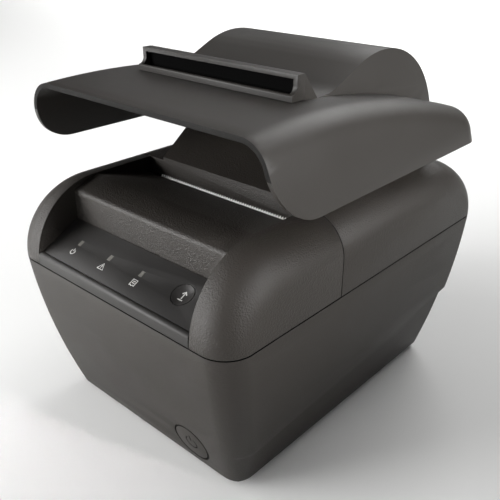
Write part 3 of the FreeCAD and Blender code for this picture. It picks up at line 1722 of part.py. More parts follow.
def hood_block(name, inset, front, low):
    """The hood's main form, drawn in by an inset; the hollow runs out at the front and below."""
    radius = s.crown_radius - inset
    crown = hood_crown - inset
    rear = hood_rear - inset
    path = [
        (front + s.cheek_radius, low),
        (rear, low),
        (rear, crown_at(rear, radius, crown), radius, "left"),
        (front, crown_at(front, radius, crown)),
        (front, low + s.cheek_radius, s.cheek_radius, "left"),
    ]
    side = prism(f"{name}_side", "YZ", path, -s.case_width, s.case_width)
    rise = hood_crown - hood_skirt
    flare = (s.hood_skirt_width - s.hood_width) / 2 / rise
    low_half = s.hood_skirt_width / 2 + flare * (hood_skirt - low) - inset
    high_half = s.hood_width / 2 - flare * s.cheek_radius - inset
    front_view = prism(
        f"{name}_front",
        "XZ",
        [
            (-low_half, low),
            (low_half, low),
            (high_half, hood_crown + s.cheek_radius),
            (-high_half, hood_crown + s.cheek_radius),
        ],
        2 * face,
        2 * back,
    )
    block = shared(f"{name}_block", side, front_view)
    edge_radius = (s.hood_shoulder_radius - inset).value
    rear_y = rear.value
    front_y = front.value
    base = (low + s.cheek_radius).value

    def upper_edge(edge):
        points = [edge.valueAt(edge.FirstParameter), edge.valueAt(edge.LastParameter)]
        middle = edge.valueAt((edge.FirstParameter + edge.LastParameter) / 2)
        on_side = abs(middle.x) > high_half.value - inset.value and points[0].x * points[1].x > 0
        along_top = on_side and abs(points[0].y - points[1].y) > (rear_y - front_y) / 2 and middle.z > base
        at_rear = all(abs(p.y - rear_y) < 0.01 for p in points)
        upright = at_rear and abs(points[0].z - points[1].z) > 1
        across = at_rear and middle.z > low.value + 1 and abs(middle.x) < 1
        return along_top or upright or across

    return rounded(name, block, lambda point: edge_radius, upper_edge)


def band_outside():
    """The hood's hump over the roll, with the wedge behind the rail and the tongue down to the lid."""
    tongue_y = band_y + band_radius * cosine(s.tongue_slope)
    tongue_z = band_z + band_radius * sine(s.tongue_slope)
    foot_y = tongue_y + (tongue_z - cover_low) * sine(s.tongue_slope) / cosine(s.tongue_slope)
    inner_y = band_y + band_radius / 2
    path = [
        (wedge_front, hood_crown - 2 * s.hood_wall),
        (inner_y, hood_crown - s.cheek_radius),
        (inner_y, cover_low),
        (foot_y, cover_low),
        (tongue_y, tongue_z, band_radius, "left"),
        (band_peak_y, band_peak_z),
        (dip_y, dip_z, s.valley_radius, "right"),
        (valley_y, valley_z),
        (wedge_front + s.wedge_run, valley_z),
        (wedge_front, rail_high),
    ]
    return prism("band_outer", "YZ", path, -s.band_width / 2, s.band_width / 2)


def band_hollow():
    radius = band_radius - s.hood_wall
    peak_y = band_y - radius * sine(s.band_slope)
    tongue_y = band_y + radius * cosine(s.tongue_slope)
    tongue_z = band_z + radius * sine(s.tongue_slope)
    foot_y = tongue_y + (tongue_z - cover_low) * sine(s.tongue_slope) / cosine(s.tongue_slope)
    path = [
        (peak_y, cover_low),
        (foot_y, cover_low),
        (tongue_y, tongue_z, radius, "left"),
        (peak_y, band_z + radius * cosine(s.band_slope)),
    ]
    half = s.band_width / 2 - s.hood_wall
    return prism("band_inner", "YZ", path, -half, half)


def make_hood():
    none = as_size(0)
    outer = hood_block("hood_outer", none, hood_front, hood_skirt)
    inner = hood_block("hood_inner", s.hood_wall, 2 * hood_front, hood_skirt - 2 * s.cheek_radius)
    band = band_outside()
    band_inner = band_hollow()
    ribs = [
        box(
            f"hood_rib_{name}",
            (sign * s.hood_rib_x - s.hood_wall / 2, sign * s.hood_rib_x + s.hood_wall / 2),
            (band_y - band_radius / 2, band_y + band_radius / 2),
            (cover_low, band_top),
        )
        for name, sign in (("left", -1), ("right", 1))
    ]
    solid = fused("hood_solid", outer, band)
    held = shared("hood_ribs", solid, fused("hood_rib_pair", *ribs))
    shell = cut("hood_shell", solid, inner, band_inner)
    seat_arch = arch("seat_arch", -s.fit_gap, cover_low - s.wall)
    seat = fused("hood_seat", seat_arch, hump_solid("seat_hump", -s.fit_gap))
    node("hood", cut("hood_done", fused("hood_ribbed", shell, held), seat))


def make_ticket_rail():
    lean = s.rail_lean
    wall = s.rail_wall
    half = s.rail_length / 2
    lip_top = rail_low + s.rail_lip - wall / 2
    curl_run = lean - wall / 2
    curl_rise = s.rail_curl - wall / 2
    curl_radius = (curl_run * curl_run + curl_rise * curl_rise) / (2 * curl_run)
    channel = prism(
        "rail_channel",
        "YZ",
        [
            (rail_front, rail_low),
            (rail_back, rail_low),
            (rail_back, rail_high),
            (rail_front + lean, rail_high),
            (rail_front + lean, rail_high - wall),
            (rail_back - wall, rail_high - wall),
            (rail_back - wall, rail_low + wall),
            (rail_front + wall, rail_low + wall),
            (rail_front + wall, lip_top, wall / 2, "left"),
            (rail_front + wall / 2, lip_top + wall / 2, wall / 2, "left"),
            (rail_front, lip_top),
        ],
        -half,
        half,
    )
    caps = []
    for name, sign in (("left", -1), ("right", 1)):
        low = half - s.rail_cap if sign == 1 else -half
        caps.append(
            prism(
                f"rail_cap_{name}",
                "YZ",
                [
                    (rail_front, rail_low),
                    (rail_back, rail_low),
                    (rail_back, rail_high),
                    (rail_front + lean, rail_high),
                    (rail_front + lean, lip_top + s.rail_curl, curl_radius, "right"),
                    (rail_front + wall / 2, lip_top + wall / 2, wall / 2, "left"),
                    (rail_front, lip_top),
                ],
                low,
                low + s.rail_cap,
            )
        )
    node("ticket_rail", fused("ticket_rail_done", channel, *caps))


make_lower_case()
make_feet()
make_front_cover()
make_lid()
make_hinge_pins()
make_control_panel()
make_feed_button()
make_power_button()
make_feed_train()
make_platen()
make_platen_bracket()
make_print_frame()
make_print_head()
make_cutter()
make_tear_bar()
make_paper_bucket()
make_boards()
make_ports()
make_hood()
make_ticket_rail()

doc.recompute()
failed = [thing.Name for thing in doc.Objects if {"Invalid", "Error"} & set(thing.State)]
failed += [thing.Label for thing in NODES if thing.Shape.isNull() or not thing.Shape.isValid()]
if failed:
    raise RuntimeError(f"these did not build: {failed}")
os.makedirs("parts", exist_ok=True)
for thing in NODES:
    thing.Shape.exportStep(f"parts/{thing.Label}.step")
    print(f"{thing.Label}: {len(thing.Shape.Solids)} solids, {thing.Shape.Volume:.0f} mm3")
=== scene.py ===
# %% [markdown]
# A counter-top receipt printer, dressed for the camera.
# The solids come from the imported part and stay where they are. This script rounds their moulded edges,
# gives every piece a procedural finish, adds the small printed signs and strokes of painted shade, and sets
# up a studio.

# %% Load the imported part
import json
import math
import bmesh
import bpy
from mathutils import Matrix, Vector
from mathutils.bvhtree import BVHTree


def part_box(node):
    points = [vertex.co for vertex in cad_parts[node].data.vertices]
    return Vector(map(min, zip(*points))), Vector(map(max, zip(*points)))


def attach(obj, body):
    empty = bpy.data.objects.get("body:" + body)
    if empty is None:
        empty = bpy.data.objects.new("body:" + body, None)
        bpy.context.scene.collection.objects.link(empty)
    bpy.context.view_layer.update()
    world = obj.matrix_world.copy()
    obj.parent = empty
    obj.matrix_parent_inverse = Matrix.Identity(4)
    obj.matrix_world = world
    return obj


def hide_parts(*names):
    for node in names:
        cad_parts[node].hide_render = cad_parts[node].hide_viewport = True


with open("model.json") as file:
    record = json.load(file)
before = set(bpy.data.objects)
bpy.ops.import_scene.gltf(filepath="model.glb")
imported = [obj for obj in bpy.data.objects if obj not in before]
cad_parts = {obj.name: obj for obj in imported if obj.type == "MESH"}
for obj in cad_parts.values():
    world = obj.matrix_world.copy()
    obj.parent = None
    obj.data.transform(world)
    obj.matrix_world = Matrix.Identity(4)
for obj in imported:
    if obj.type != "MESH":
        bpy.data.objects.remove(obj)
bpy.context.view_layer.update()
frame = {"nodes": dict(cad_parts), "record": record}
nodes = frame["nodes"]
print("solids loaded:", len(nodes))

# %% [markdown]
# The camera stands in front and to the right, a little above the hood, as the photographer did.
# Its place was worked out from the straight edges of the case. A turn about the upright axis and a tilt
# down are all it needs. The lens is given in millimetres on a 36 mm wide sensor.

# %% Camera
EYE_PLACE = (0.2124, -0.2394, 0.2317)
EYE_TURN = 42.33
EYE_TILT_DOWN = 26.616
eye = bpy.data.cameras.new("eye")
eye.sensor_width = 36
eye.lens = 48.1
eye.clip_start = 0.01
camera = bpy.data.objects.new("eye", eye)
camera.location = EYE_PLACE
camera.rotation_euler = (math.radians(90 - EYE_TILT_DOWN), 0, math.radians(EYE_TURN))
bpy.context.collection.objects.link(camera)
bpy.context.scene.camera = camera
print("camera at", [round(c, 3) for c in camera.location])

# %% [markdown]
# The studio is a pale floor and soft light. The floor lies a tenth of a millimetre below the feet, so that
# no two faces share a plane.

# %% Floor
FLOOR_SIZE = 8
FLOOR_DROP = 0.1e-3
bpy.ops.mesh.primitive_grid_add(x_subdivisions=8, y_subdivisions=8, size=FLOOR_SIZE)
floor = bpy.context.object
floor.name = "floor"
floor.location.z = -FLOOR_DROP
floor_finish = bpy.data.materials.new("floor_paper")
floor_finish.use_nodes = True
paper = floor_finish.node_tree.nodes["Principled BSDF"]
paper.inputs["Base Color"].default_value = (0.96, 0.96, 0.95, 1)
paper.inputs["Roughness"].default_value = 0.9
paper.inputs["Specular IOR Level"].default_value = 0.1
floor.data.materials.append(floor_finish)
print("floor:", round(floor.dimensions.x, 1), "m wide")

# %% [markdown]
# The sky gives little light, so that the sides keep their contrast. Where the camera itself looks past the
# floor, a Light Path node shows it pale. The Standard view transform keeps white paper white.

# %% Sky
SKY_LIGHT = 0.02
SKY_SEEN = 0.85
world = bpy.data.worlds.new("studio")
world.use_nodes = True
sky = world.node_tree.nodes["Background"]
sky.inputs["Color"].default_value = (1, 1, 1, 1)
rays = world.node_tree.nodes.new("ShaderNodeLightPath")
seen = world.node_tree.nodes.new("ShaderNodeMapRange")
seen.inputs["To Min"].default_value = SKY_LIGHT
seen.inputs["To Max"].default_value = SKY_SEEN
world.node_tree.links.new(rays.outputs["Is Camera Ray"], seen.inputs["Value"])
world.node_tree.links.new(seen.outputs["Result"], sky.inputs["Strength"])
bpy.context.scene.world = world
bpy.context.scene.view_settings.view_transform = "Standard"
print("sky gives", SKY_LIGHT, "and is seen as", SKY_SEEN)

# %% [markdown]
# Dark plastic is drawn by what it reflects, so each panel has a task. A low one to the front left lights
# the face, a higher one to the left reaches under the hood, and two behind draw the sheen on the hood and
# the deck. The right side stays darker, with only a narrow strip for the cover's shoulder. The table and
# back panels point straight down and brighten the floor near by, and a wide dim ceiling reaches the rest.

# %% Light panels


def light_panel(name, place, aim, width, height, power, spread=180):
    """A soft rectangular lamp that faces a point; lengths in metres, power in watts, spread in degrees."""
    lamp = bpy.data.lights.new(name, "AREA")
    lamp.shape = "RECTANGLE"
    lamp.size = width
    lamp.size_y = height
    lamp.energy = power
    lamp.spread = math.radians(spread)
    holder = bpy.data.objects.new(name, lamp)
    holder.location = place
    holder.rotation_euler = (Vector(aim) - Vector(place)).to_track_quat("-Z", "Y").to_euler()
    bpy.context.collection.objects.link(holder)


light_panel("front_left_panel", (-0.8, -1.2, 0.36), (0, -0.05, 0.06), 0.7, 0.5, 23)
light_panel("left_panel", (-1.1, -0.75, 0.75), (0, -0.05, 0.14), 0.8, 0.6, 8)
light_panel("rear_panel", (-0.1, 1.1, 1.0), (0, 0, 0.15), 0.9, 0.6, 10)
light_panel("rear_left_panel", (-0.9, 1.0, 0.7), (0, 0, 0.16), 0.9, 0.5, 0.8)
light_panel("right_strip", (0.95, 0.15, 0.5), (0.07, -0.02, 0.16), 0.35, 0.06, 0.3, 16)
light_panel("table_panel", (-0.4, -0.75, 0.7), (-0.4, -0.75, 0), 0.6, 0.6, 12, 60)
light_panel("back_panel", (-0.9, 1.6, 0.9), (-0.9, 1.6, 0), 2.4, 1.6, 16, 100)
light_panel("ceiling_panel", (0, 0, 3), (0, 0, 0), 8, 8, 60)

# %% [markdown]
# A surface effect that many materials share is best kept in a node group: it is built once, and each
# material sets its own values. The helpers below add a node, add a sum, open a group with named sockets, and
# make the tone and the gloss that both groups put out.

# %% Helpers for nodes


def add(tree, kind, **values):
    """A node with some of its properties and input values set."""
    made = tree.nodes.new(kind)
    for key, value in values.items():
        if key in made.inputs:
            made.inputs[key].default_value = value
        else:
            setattr(made, key, value)
    return made


def maths(tree, operation, first, second):
    """A Math node between two sockets or numbers."""
    made = tree.nodes.new("ShaderNodeMath")
    made.operation = operation
    for place, value in enumerate((first, second)):
        if isinstance(value, (int, float)):
            made.inputs[place].default_value = value
        else:
            tree.links.new(value, made.inputs[place])
    return made.outputs[0]


print("node helpers ready")

# %% Helpers for groups


def open_group(name, marks):
    """A new group with a tone, a scale for its marks and a range of roughness as inputs."""
    group = bpy.data.node_groups.new(name, "ShaderNodeTree")
    group.interface.new_socket("Tone", in_out="INPUT", socket_type="NodeSocketColor")
    for number in ("Spread", marks, "Smoothest", "Roughest"):
        group.interface.new_socket(number, in_out="INPUT", socket_type="NodeSocketFloat")
    group.interface.new_socket("Color", in_out="OUTPUT", socket_type="NodeSocketColor")
    for number in ("Roughness", "Height"):
        group.interface.new_socket(number, in_out="OUTPUT", socket_type="NodeSocketFloat")
    return group, group.nodes.new("NodeGroupInput"), group.nodes.new("NodeGroupOutput")


def tone_and_gloss(group, given, result, swing):
    """Lets a value that swings about zero shift the tone and move the roughness through its range."""
    gain = maths(group, "ADD", maths(group, "MULTIPLY", swing, given.outputs["Spread"]), 1)
    toned = add(group, "ShaderNodeVectorMath", operation="SCALE")
    group.links.new(given.outputs["Tone"], toned.inputs[0])
    group.links.new(gain, toned.inputs["Scale"])
    group.links.new(toned.outputs[0], result.inputs["Color"])
    rough = add(group, "ShaderNodeMapRange")
    group.links.new(maths(group, "ADD", swing, 0.5), rough.inputs["Value"])
    group.links.new(given.outputs["Smoothest"], rough.inputs["To Min"])
    group.links.new(given.outputs["Roughest"], rough.inputs["To Max"])
    group.links.new(rough.outputs[0], result.inputs["Roughness"])


print("group helpers ready")

# %% [markdown]
# Nearly every outer piece is injection-moulded, with a fine pebbled grain etched into the mould.
# The grain is one node group that all the plastics share: pebbles from a smooth Voronoi pattern with noise
# over it, and slow cloudy patches that shift the tone and the gloss a little.

# %% Node group: moulded grain
CLOUD_SCALE = 22
SPECKLE_TO_PEBBLE = 1.7


def make_grain_group():
    """Pebbled grain with cloudy patches, for plastic and rubber."""
    group, given, result = open_group("moulded_grain", "Pebbles")
    link = group.links.new
    where = group.nodes.new("ShaderNodeTexCoord")
    pebbles = add(group, "ShaderNodeTexVoronoi", feature="SMOOTH_F1", Smoothness=0.6)
    speckle = add(group, "ShaderNodeTexNoise", Detail=3)
    clouds = add(group, "ShaderNodeTexNoise", Scale=CLOUD_SCALE, Detail=2)
    for texture in (pebbles, speckle, clouds):
        link(where.outputs["Object"], texture.inputs["Vector"])
    link(given.outputs["Pebbles"], pebbles.inputs["Scale"])
    link(maths(group, "MULTIPLY", given.outputs["Pebbles"], SPECKLE_TO_PEBBLE), speckle.inputs["Scale"])
    height = maths(group, "ADD", pebbles.outputs["Distance"], speckle.outputs["Fac"])
    link(height, result.inputs["Height"])
    patch = maths(group, "SUBTRACT", clouds.outputs["Fac"], 0.5)
    pit = maths(group, "SUBTRACT", speckle.outputs["Fac"], 0.5)
    tone_and_gloss(group, given, result, maths(group, "ADD", patch, pit))
    return group


grain_group = make_grain_group()
print("group made:", grain_group.name)

# %% [markdown]
# The steel pieces are rolled, ground or turned, so their marks run in lines. A second group stretches noise
# along one axis and gives the same three outputs, so any metal can be made from it.

# %% Node group: drawn lines
LINE_STRETCH = 0.03


def make_lines_group():
    """Fine lines along one axis, for metal."""
    group, given, result = open_group("drawn_lines", "Lines")
    where = group.nodes.new("ShaderNodeTexCoord")
    stretch = group.nodes.new("ShaderNodeMapping")
    stretch.inputs["Scale"].default_value = (LINE_STRETCH, 1, 1)
    lines = add(group, "ShaderNodeTexNoise", Detail=4)
    group.links.new(where.outputs["Object"], stretch.inputs["Vector"])
    group.links.new(stretch.outputs["Vector"], lines.inputs["Vector"])
    group.links.new(given.outputs["Lines"], lines.inputs["Scale"])
    group.links.new(lines.outputs["Fac"], result.inputs["Height"])
    tone_and_gloss(group, given, result, maths(group, "SUBTRACT", lines.outputs["Fac"], 0.5))
    return group


lines_group = make_lines_group()
print("group made:", lines_group.name)

# %% [markdown]
# A finish is a group feeding a Principled shader: colour and roughness straight in, and the height through
# a Bump node. Numbers that are the same all over the piece are set on the shader itself.

# %% Finish maker


def finish(name, group, tone, spread, scale, roughness, bump, **constant):
    """A material whose grain or lines come from a group; bump is the height in millimetres."""
    material = bpy.data.materials.new(name)
    material.use_nodes = True
    tree = material.node_tree
    shader = tree.nodes["Principled BSDF"]
    marks = tree.nodes.new("ShaderNodeGroup")
    marks.node_tree = group
    values = ((*tone, 1), spread, scale, *roughness)
    for place, value in enumerate(values):
        marks.inputs[place].default_value = value
    relief = add(tree, "ShaderNodeBump", Strength=1, Distance=bump / 1000)
    tree.links.new(marks.outputs["Color"], shader.inputs["Base Color"])
    tree.links.new(marks.outputs["Roughness"], shader.inputs["Roughness"])
    tree.links.new(marks.outputs["Height"], relief.inputs["Height"])
    tree.links.new(relief.outputs["Normal"], shader.inputs["Normal"])
    shader.inputs["Specular IOR Level"].default_value = 0.3
    for key, value in constant.items():
        shader.inputs[key.replace("_", " ").title().replace("Ior", "IOR")].default_value = value
    return material


print("finish maker ready")

# %% [markdown]
# The outer mouldings are warm charcoal. The case, the cover and the lid have a grain that can be felt; the
# hood is a separate moulding with a smoother, darker face, and the panel insert and the buttons are smoother
# again. Each row below is one plastic, rubber or laminate: its name, its tone, how much the tone varies, how
# many pebbles there are to a metre, the range of roughness and the height of the pebbles in millimetres.

# %% Plastics
CHARCOAL = (0.0265, 0.023, 0.0198)
plastic_rows = (
    ("case_shell", CHARCOAL, 0.45, 1400, (0.40, 0.60), 0.09),
    ("top_shell", CHARCOAL, 0.5, 1300, (0.34, 0.58), 0.17),
    ("lid_shell", CHARCOAL, 0.45, 1300, (0.36, 0.58), 0.14),
    ("hood_shell", (0.0245, 0.0218, 0.0192), 0.3, 1700, (0.40, 0.56), 0.02),
    ("rail_plastic", (0.0228, 0.0205, 0.0182), 0.3, 1900, (0.40, 0.55), 0.015),
    ("panel_plastic", (0.024, 0.0225, 0.0215), 0.25, 2200, (0.42, 0.55), 0.012),
    ("button_plastic", (0.028, 0.026, 0.025), 0.2, 2600, (0.30, 0.42), 0.006),
    ("power_plastic", CHARCOAL, 0.35, 1500, (0.42, 0.62), 0.03),
    ("bucket_plastic", (0.05, 0.05, 0.052), 0.3, 1200, (0.45, 0.6), 0.03),
    ("socket_plastic", (0.02, 0.02, 0.02), 0.2, 2400, (0.35, 0.5), 0.01),
    ("gear_plastic", (0.74, 0.72, 0.66), 0.08, 900, (0.35, 0.5), 0.01),
    ("bush_plastic", (0.70, 0.67, 0.58), 0.08, 900, (0.3, 0.45), 0.01),
    ("light_lens", (0.17, 0.165, 0.15), 0.3, 1800, (0.12, 0.25), 0.01),
    ("foot_rubber", (0.018, 0.018, 0.018), 0.3, 900, (0.75, 0.95), 0.05),
    ("roller_rubber", (0.03, 0.03, 0.032), 0.2, 1600, (0.7, 0.85), 0.02),
    ("board_laminate", (0.02, 0.13, 0.05), 0.4, 700, (0.3, 0.5), 0.03),
)
finishes = {}
for name, *look in plastic_rows:
    finishes[name] = finish(name, grain_group, *look)
print("plastics:", len(plastic_rows))

# %% [markdown]
# Steel and light metal: the tear bar and the blades are ground bright, the frame and the ports are plated
# sheet, shafts and screws are turned. A row is read as above, with lines in place of pebbles, and ends with
# how metallic the surface is. That is set on the shader because it is the same all over. The ground steel
# gets little of it and a near-white tone. A mirror would show the dark hood above the tear bar, and the pale
# tone is a painted highlight that makes its teeth read white.

# %% Metals
metal_rows = (
    # blade_steel: near-white tone, a painted highlight along the tear bar's teeth.
    ("blade_steel", (0.95, 0.94, 0.91), 0.1, 3000, (0.3, 0.45), 0.004, 0.1),
    ("frame_steel", (0.55, 0.56, 0.57), 0.25, 1400, (0.3, 0.5), 0.006, 1),
    ("pin_steel", (0.62, 0.62, 0.62), 0.15, 2200, (0.2, 0.35), 0.003, 1),
    ("screw_steel", (0.5, 0.5, 0.5), 0.2, 2000, (0.3, 0.45), 0.005, 1),
    ("socket_shell", (0.68, 0.67, 0.65), 0.15, 1800, (0.2, 0.35), 0.003, 1),
    ("head_metal", (0.62, 0.62, 0.63), 0.2, 1500, (0.3, 0.45), 0.005, 1),
    ("motor_can", (0.33, 0.34, 0.35), 0.2, 1200, (0.3, 0.45), 0.005, 1),
)
for name, *look, metallic in metal_rows:
    finishes[name] = finish(name, lines_group, *look, metallic=metallic)
print("metals:", len(metal_rows))

# %% [markdown]
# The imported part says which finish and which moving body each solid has, so the two are looked up there and
# never written down again.

# %% Give each solid its finish
slot_of = {entry["node"]: entry["material_slot"] for entry in frame["record"]["subparts"]}
body_of = {n: body for body, names in frame["record"]["behaviour"]["bodies"].items() for n in names}
for name, solid in nodes.items():
    solid.data.materials.clear()
    solid.data.materials.append(finishes[slot_of[name]])
print("finished solids:", len(slot_of))

# %% [markdown]
# A moulding has no sharp edges: the tool leaves a small radius that catches the light as a thin bright line.
# The solids' flat faces meet in crisp corners, so each outer moulding is copied, its flat triangles are
# joined, and a Bevel modifier rounds the corners. The copy stands for the solid.

# %% Rounded mouldings
SAME_POINT = 2e-6
FLAT_ANGLE = math.radians(0.5)
CORNER_ANGLE = math.radians(32)


def rounded_copy(name, width):
    """A copy of a solid with its corners rounded, width in millimetres."""
    mesh = nodes[name].data.copy()
    shape = bmesh.new()
    shape.from_mesh(mesh)
    bmesh.ops.remove_doubles(shape, verts=shape.verts, dist=SAME_POINT)
    bmesh.ops.dissolve_limit(
        shape,
        angle_limit=FLAT_ANGLE,
        use_dissolve_boundaries=False,
        verts=shape.verts,
        edges=shape.edges,
    )
    for side in shape.faces:
        side.smooth = True
    shape.to_mesh(mesh)
    shape.free()
    piece = bpy.data.objects.new(f"{name}_moulding", mesh)
    bpy.context.collection.objects.link(piece)
    edge = piece.modifiers.new("rounded_edges", "BEVEL")
    edge.width = width / 1000
    edge.segments = 3
    edge.limit_method = "ANGLE"
    edge.angle_limit = CORNER_ANGLE
    edge.harden_normals = True
    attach(piece, body_of[name])
    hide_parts(name)
    return piece


corner_widths = {
    "lower_case": 0.2,
    "front_cover": 0.3,
    "lid": 0.25,
    "hood": 0.5,
    "ticket_rail": 0.45,
    "control_panel": 0.3,
    "power_button": 0.25,
    "feed_button": 0.25,
}
mouldings = {name: rounded_copy(name, width) for name, width in corner_widths.items()}
print("rounded mouldings:", [piece.name for piece in mouldings.values()])

# %% [markdown]
# The hood is trimmed along its front. Its cut faces get a duller, darker finish than the face beside it. This
# is painted shade that reads as a dark line under the bright edge, as if the cut lay in shadow. A second
# material on the faces that look straight forward at the front does this, with no extra geometry.

# %% Painted shade on the hood's trimmed front
RIM_REACH = 0.5e-3
RIM_FACING = 0.9
# Near-black, duller tone: painted shade on the hood's cut front.
rim_shade_look = ((0.007, 0.0065, 0.006), 0.3, 1900, (0.6, 0.75), 0.01)
rim_painted_shade = finish("rim_painted_shade", grain_group, *rim_shade_look, specular_ior_level=0.1)


def paint_front_shade(piece, name):
    """Paints shade on the faces of a moulding that lie at its very front and look forward."""
    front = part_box(name)[0].y + RIM_REACH
    piece.data.materials.append(rim_painted_shade)
    rim = [side for side in piece.data.polygons if side.center.y < front and side.normal.y < -RIM_FACING]
    for side in rim:
        side.material_index = 1
    return len(rim)


print("rim faces:", paint_front_shade(mouldings["hood"], "hood"))

# %% [markdown]
# The case, the cover and the lid meet in narrow gaps. Mouldings like these mostly have a tongue behind such a
# gap that stops the light, so the lines lie in shade and read black. Here a thin near-black strip of painted
# shade closes each gap just below the surface and laps onto the rounded edges beside it. Its path is the
# outline in which a plane beside the gap cuts the moulding.

# %% Outline of a cut


def outer_edges(shape, place, normal):
    """Cuts a shape by a plane; gives the ends of each outside edge of the cut, with the way out there."""
    parts = shape.verts[:] + shape.edges[:] + shape.faces[:]
    cut = bmesh.ops.bisect_plane(shape, geom=parts, plane_co=place, plane_no=normal)["geom_cut"]
    edges = [edge for edge in cut if isinstance(edge, bmesh.types.BMEdge)]
    ways = {}
    for edge in edges:
        for side in edge.link_faces:
            way = side.normal - normal * side.normal.dot(normal)
            for vertex in edge.verts:
                ways[vertex] = ways.get(vertex, Vector()) + way.normalized()
    for edge in edges:
        ends = [(vertex.co.copy(), ways[vertex].normalized()) for vertex in edge.verts]
        if all(way.dot(point - place) > 0 for point, way in ends):
            yield ends


print("outline helper ready")

# %% [markdown]
# Each strip is a thin closed band. It lies SEAM_DEPTH below the surface and overlaps the rims on both sides
# of the gap by LAP. The plane that gives its path cuts the moulding BESIDE its rim, clear of the corner.

# %% Painted shade strips in the parting lines
SEAM_DEPTH = 0.03e-3
STRIP_THICKNESS = 0.15e-3
BESIDE = 0.2e-3
LAP = 0.16e-3
# Near-black finish without gloss, used for painted shade in gaps, the rail's slot and the power button's
# sign.
painted_shade_look = ((0.004, 0.004, 0.004), 0.4, 2000, (0.8, 0.95), 0.004)
painted_shade_black = finish("painted_shade_black", grain_group, *painted_shade_look, specular_ior_level=0)


def seam_shade_strip(name, carrier, place, normal, gap):
    """A thin strip of painted shade in the gap that starts just past a plane across its carrier."""
    cut_shape = bmesh.new()
    cut_shape.from_mesh(nodes[carrier].data)
    bmesh.ops.remove_doubles(cut_shape, verts=cut_shape.verts, dist=SAME_POINT)
    low = normal * (BESIDE - LAP)
    high = normal * (BESIDE + gap + LAP)
    shape = bmesh.new()
    for ends in outer_edges(cut_shape, place, normal):
        rows = []
        for point, way in ends:
            near = point - way * SEAM_DEPTH
            far = point - way * (SEAM_DEPTH + STRIP_THICKNESS)
            rows.append([shape.verts.new(p) for p in (near + low, near + high, far + high, far + low)])
        for i in range(4):
            shape.faces.new((rows[0][i], rows[0][i - 1], rows[1][i - 1], rows[1][i]))
    cut_shape.free()
    bmesh.ops.remove_doubles(shape, verts=shape.verts, dist=SAME_POINT)
    bmesh.ops.holes_fill(shape, edges=shape.edges, sides=4)
    bmesh.ops.recalc_face_normals(shape, faces=shape.faces)
    mesh = bpy.data.meshes.new(name)
    shape.to_mesh(mesh)
    shape.free()
    mesh.materials.append(painted_shade_black)
    piece = bpy.data.objects.new(name, mesh)
    bpy.context.collection.objects.link(piece)
    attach(piece, body_of[carrier])
    return piece


SEAM_GAP = 0.7e-3
cover_low, cover_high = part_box("front_cover")
cover_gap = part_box("lid")[0].y - cover_high.y
case_rim = Vector((0, 0, cover_low.z - SEAM_GAP - BESIDE))
cover_rim = Vector((0, cover_high.y - BESIDE, cover_low.z))
strips = [
    seam_shade_strip("case_seam_shade", "lower_case", case_rim, Vector((0, 0, 1)), SEAM_GAP),
    seam_shade_strip("lid_seam_shade", "front_cover", cover_rim, Vector((0, 1, 0)), cover_gap),
]
print("seam strips:", [piece.name for piece in strips])

# %% [markdown]
# The clip rail holds order slips by friction. A near-black block of painted shade lies along the back of its
# channel, so the slot looks deep and dark. It is a plain block. Rays from the middle of the slot find the
# walls between which it lies, so it follows the rail's own sizes.

# %% Painted shade block in the rail
SHADE_BLOCK_THICKNESS = 0.6e-3


def skin_of(name):
    """The surface of a solid, ready for rays."""
    solid = nodes[name].data
    return BVHTree.FromPolygons([v.co for v in solid.vertices], [p.vertices for p in solid.polygons])


def rail_shade_block():
    """A near-black block of painted shade along the back of the rail's channel."""
    walls = skin_of("ticket_rail")
    slot = next(o for o in frame["record"]["physics"]["openings"] if o["name"] == "ticket_slot")
    middle = (Vector(slot["box_m"][0]) + Vector(slot["box_m"][1])) / 2
    back = walls.ray_cast(middle, Vector((0, 1, 0)))[0]
    start = back - Vector((0, SHADE_BLOCK_THICKNESS, 0))
    left = walls.ray_cast(start, Vector((-1, 0, 0)))[0].x
    right = walls.ray_cast(start, Vector((1, 0, 0)))[0].x
    low = walls.ray_cast(start, Vector((0, 0, -1)))[0].z
    high = walls.ray_cast(start, Vector((0, 0, 1)))[0].z
    bpy.ops.mesh.primitive_cube_add(size=1)
    piece = bpy.context.object
    piece.name = "rail_shade"
    for vertex in piece.data.vertices:
        vertex.co.x = right if vertex.co.x > 0 else left
        vertex.co.y = back.y if vertex.co.y > 0 else start.y
        vertex.co.z = high if vertex.co.z > 0 else low
    piece.data.materials.append(painted_shade_black)
    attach(piece, body_of["ticket_rail"])
    return piece


# The block in the rail is painted shade.
print("foam:", rail_shade_block().name)

# %% [markdown]
# The tear bar is stamped from strip steel and its teeth are bent up a little, so that paper pulled forward
# runs over their tips. The solid is flat, so a copy of it takes the bend. Only the teeth show at the slot.

# %% Tear bar with bent teeth
TOOTH_REACH = 1.15e-3
TOOTH_RISE = 1.4


def bent_tear_bar():
    """A copy of the tear bar whose teeth rise towards their tips."""
    mesh = nodes["tear_bar"].data.copy()
    bend_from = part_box("tear_bar")[1].y - TOOTH_REACH
    for vertex in mesh.vertices:
        vertex.co.z += TOOTH_RISE * max(vertex.co.y - bend_from, 0)
    piece = bpy.data.objects.new("tear_bar_bent", mesh)
    bpy.context.collection.objects.link(piece)
    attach(piece, body_of["tear_bar"])
    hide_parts("tear_bar")
    return piece


print("tear bar:", bent_tear_bar().name)

# %% [markdown]
# Each light and the feed button carries a plain sign that any maker could use: a power sign, a warning
# triangle, a sheet of paper and a feed arrow. They are printed in pale ink, so each stroke is a thin ribbon
# laid on the surface below it. The power button's own sign and the line round its rim are near-black ribbons
# of painted shade. They stand in for the shade in a sign pressed into the plastic and in the gap round the
# button.

# %% Strokes as ribbons


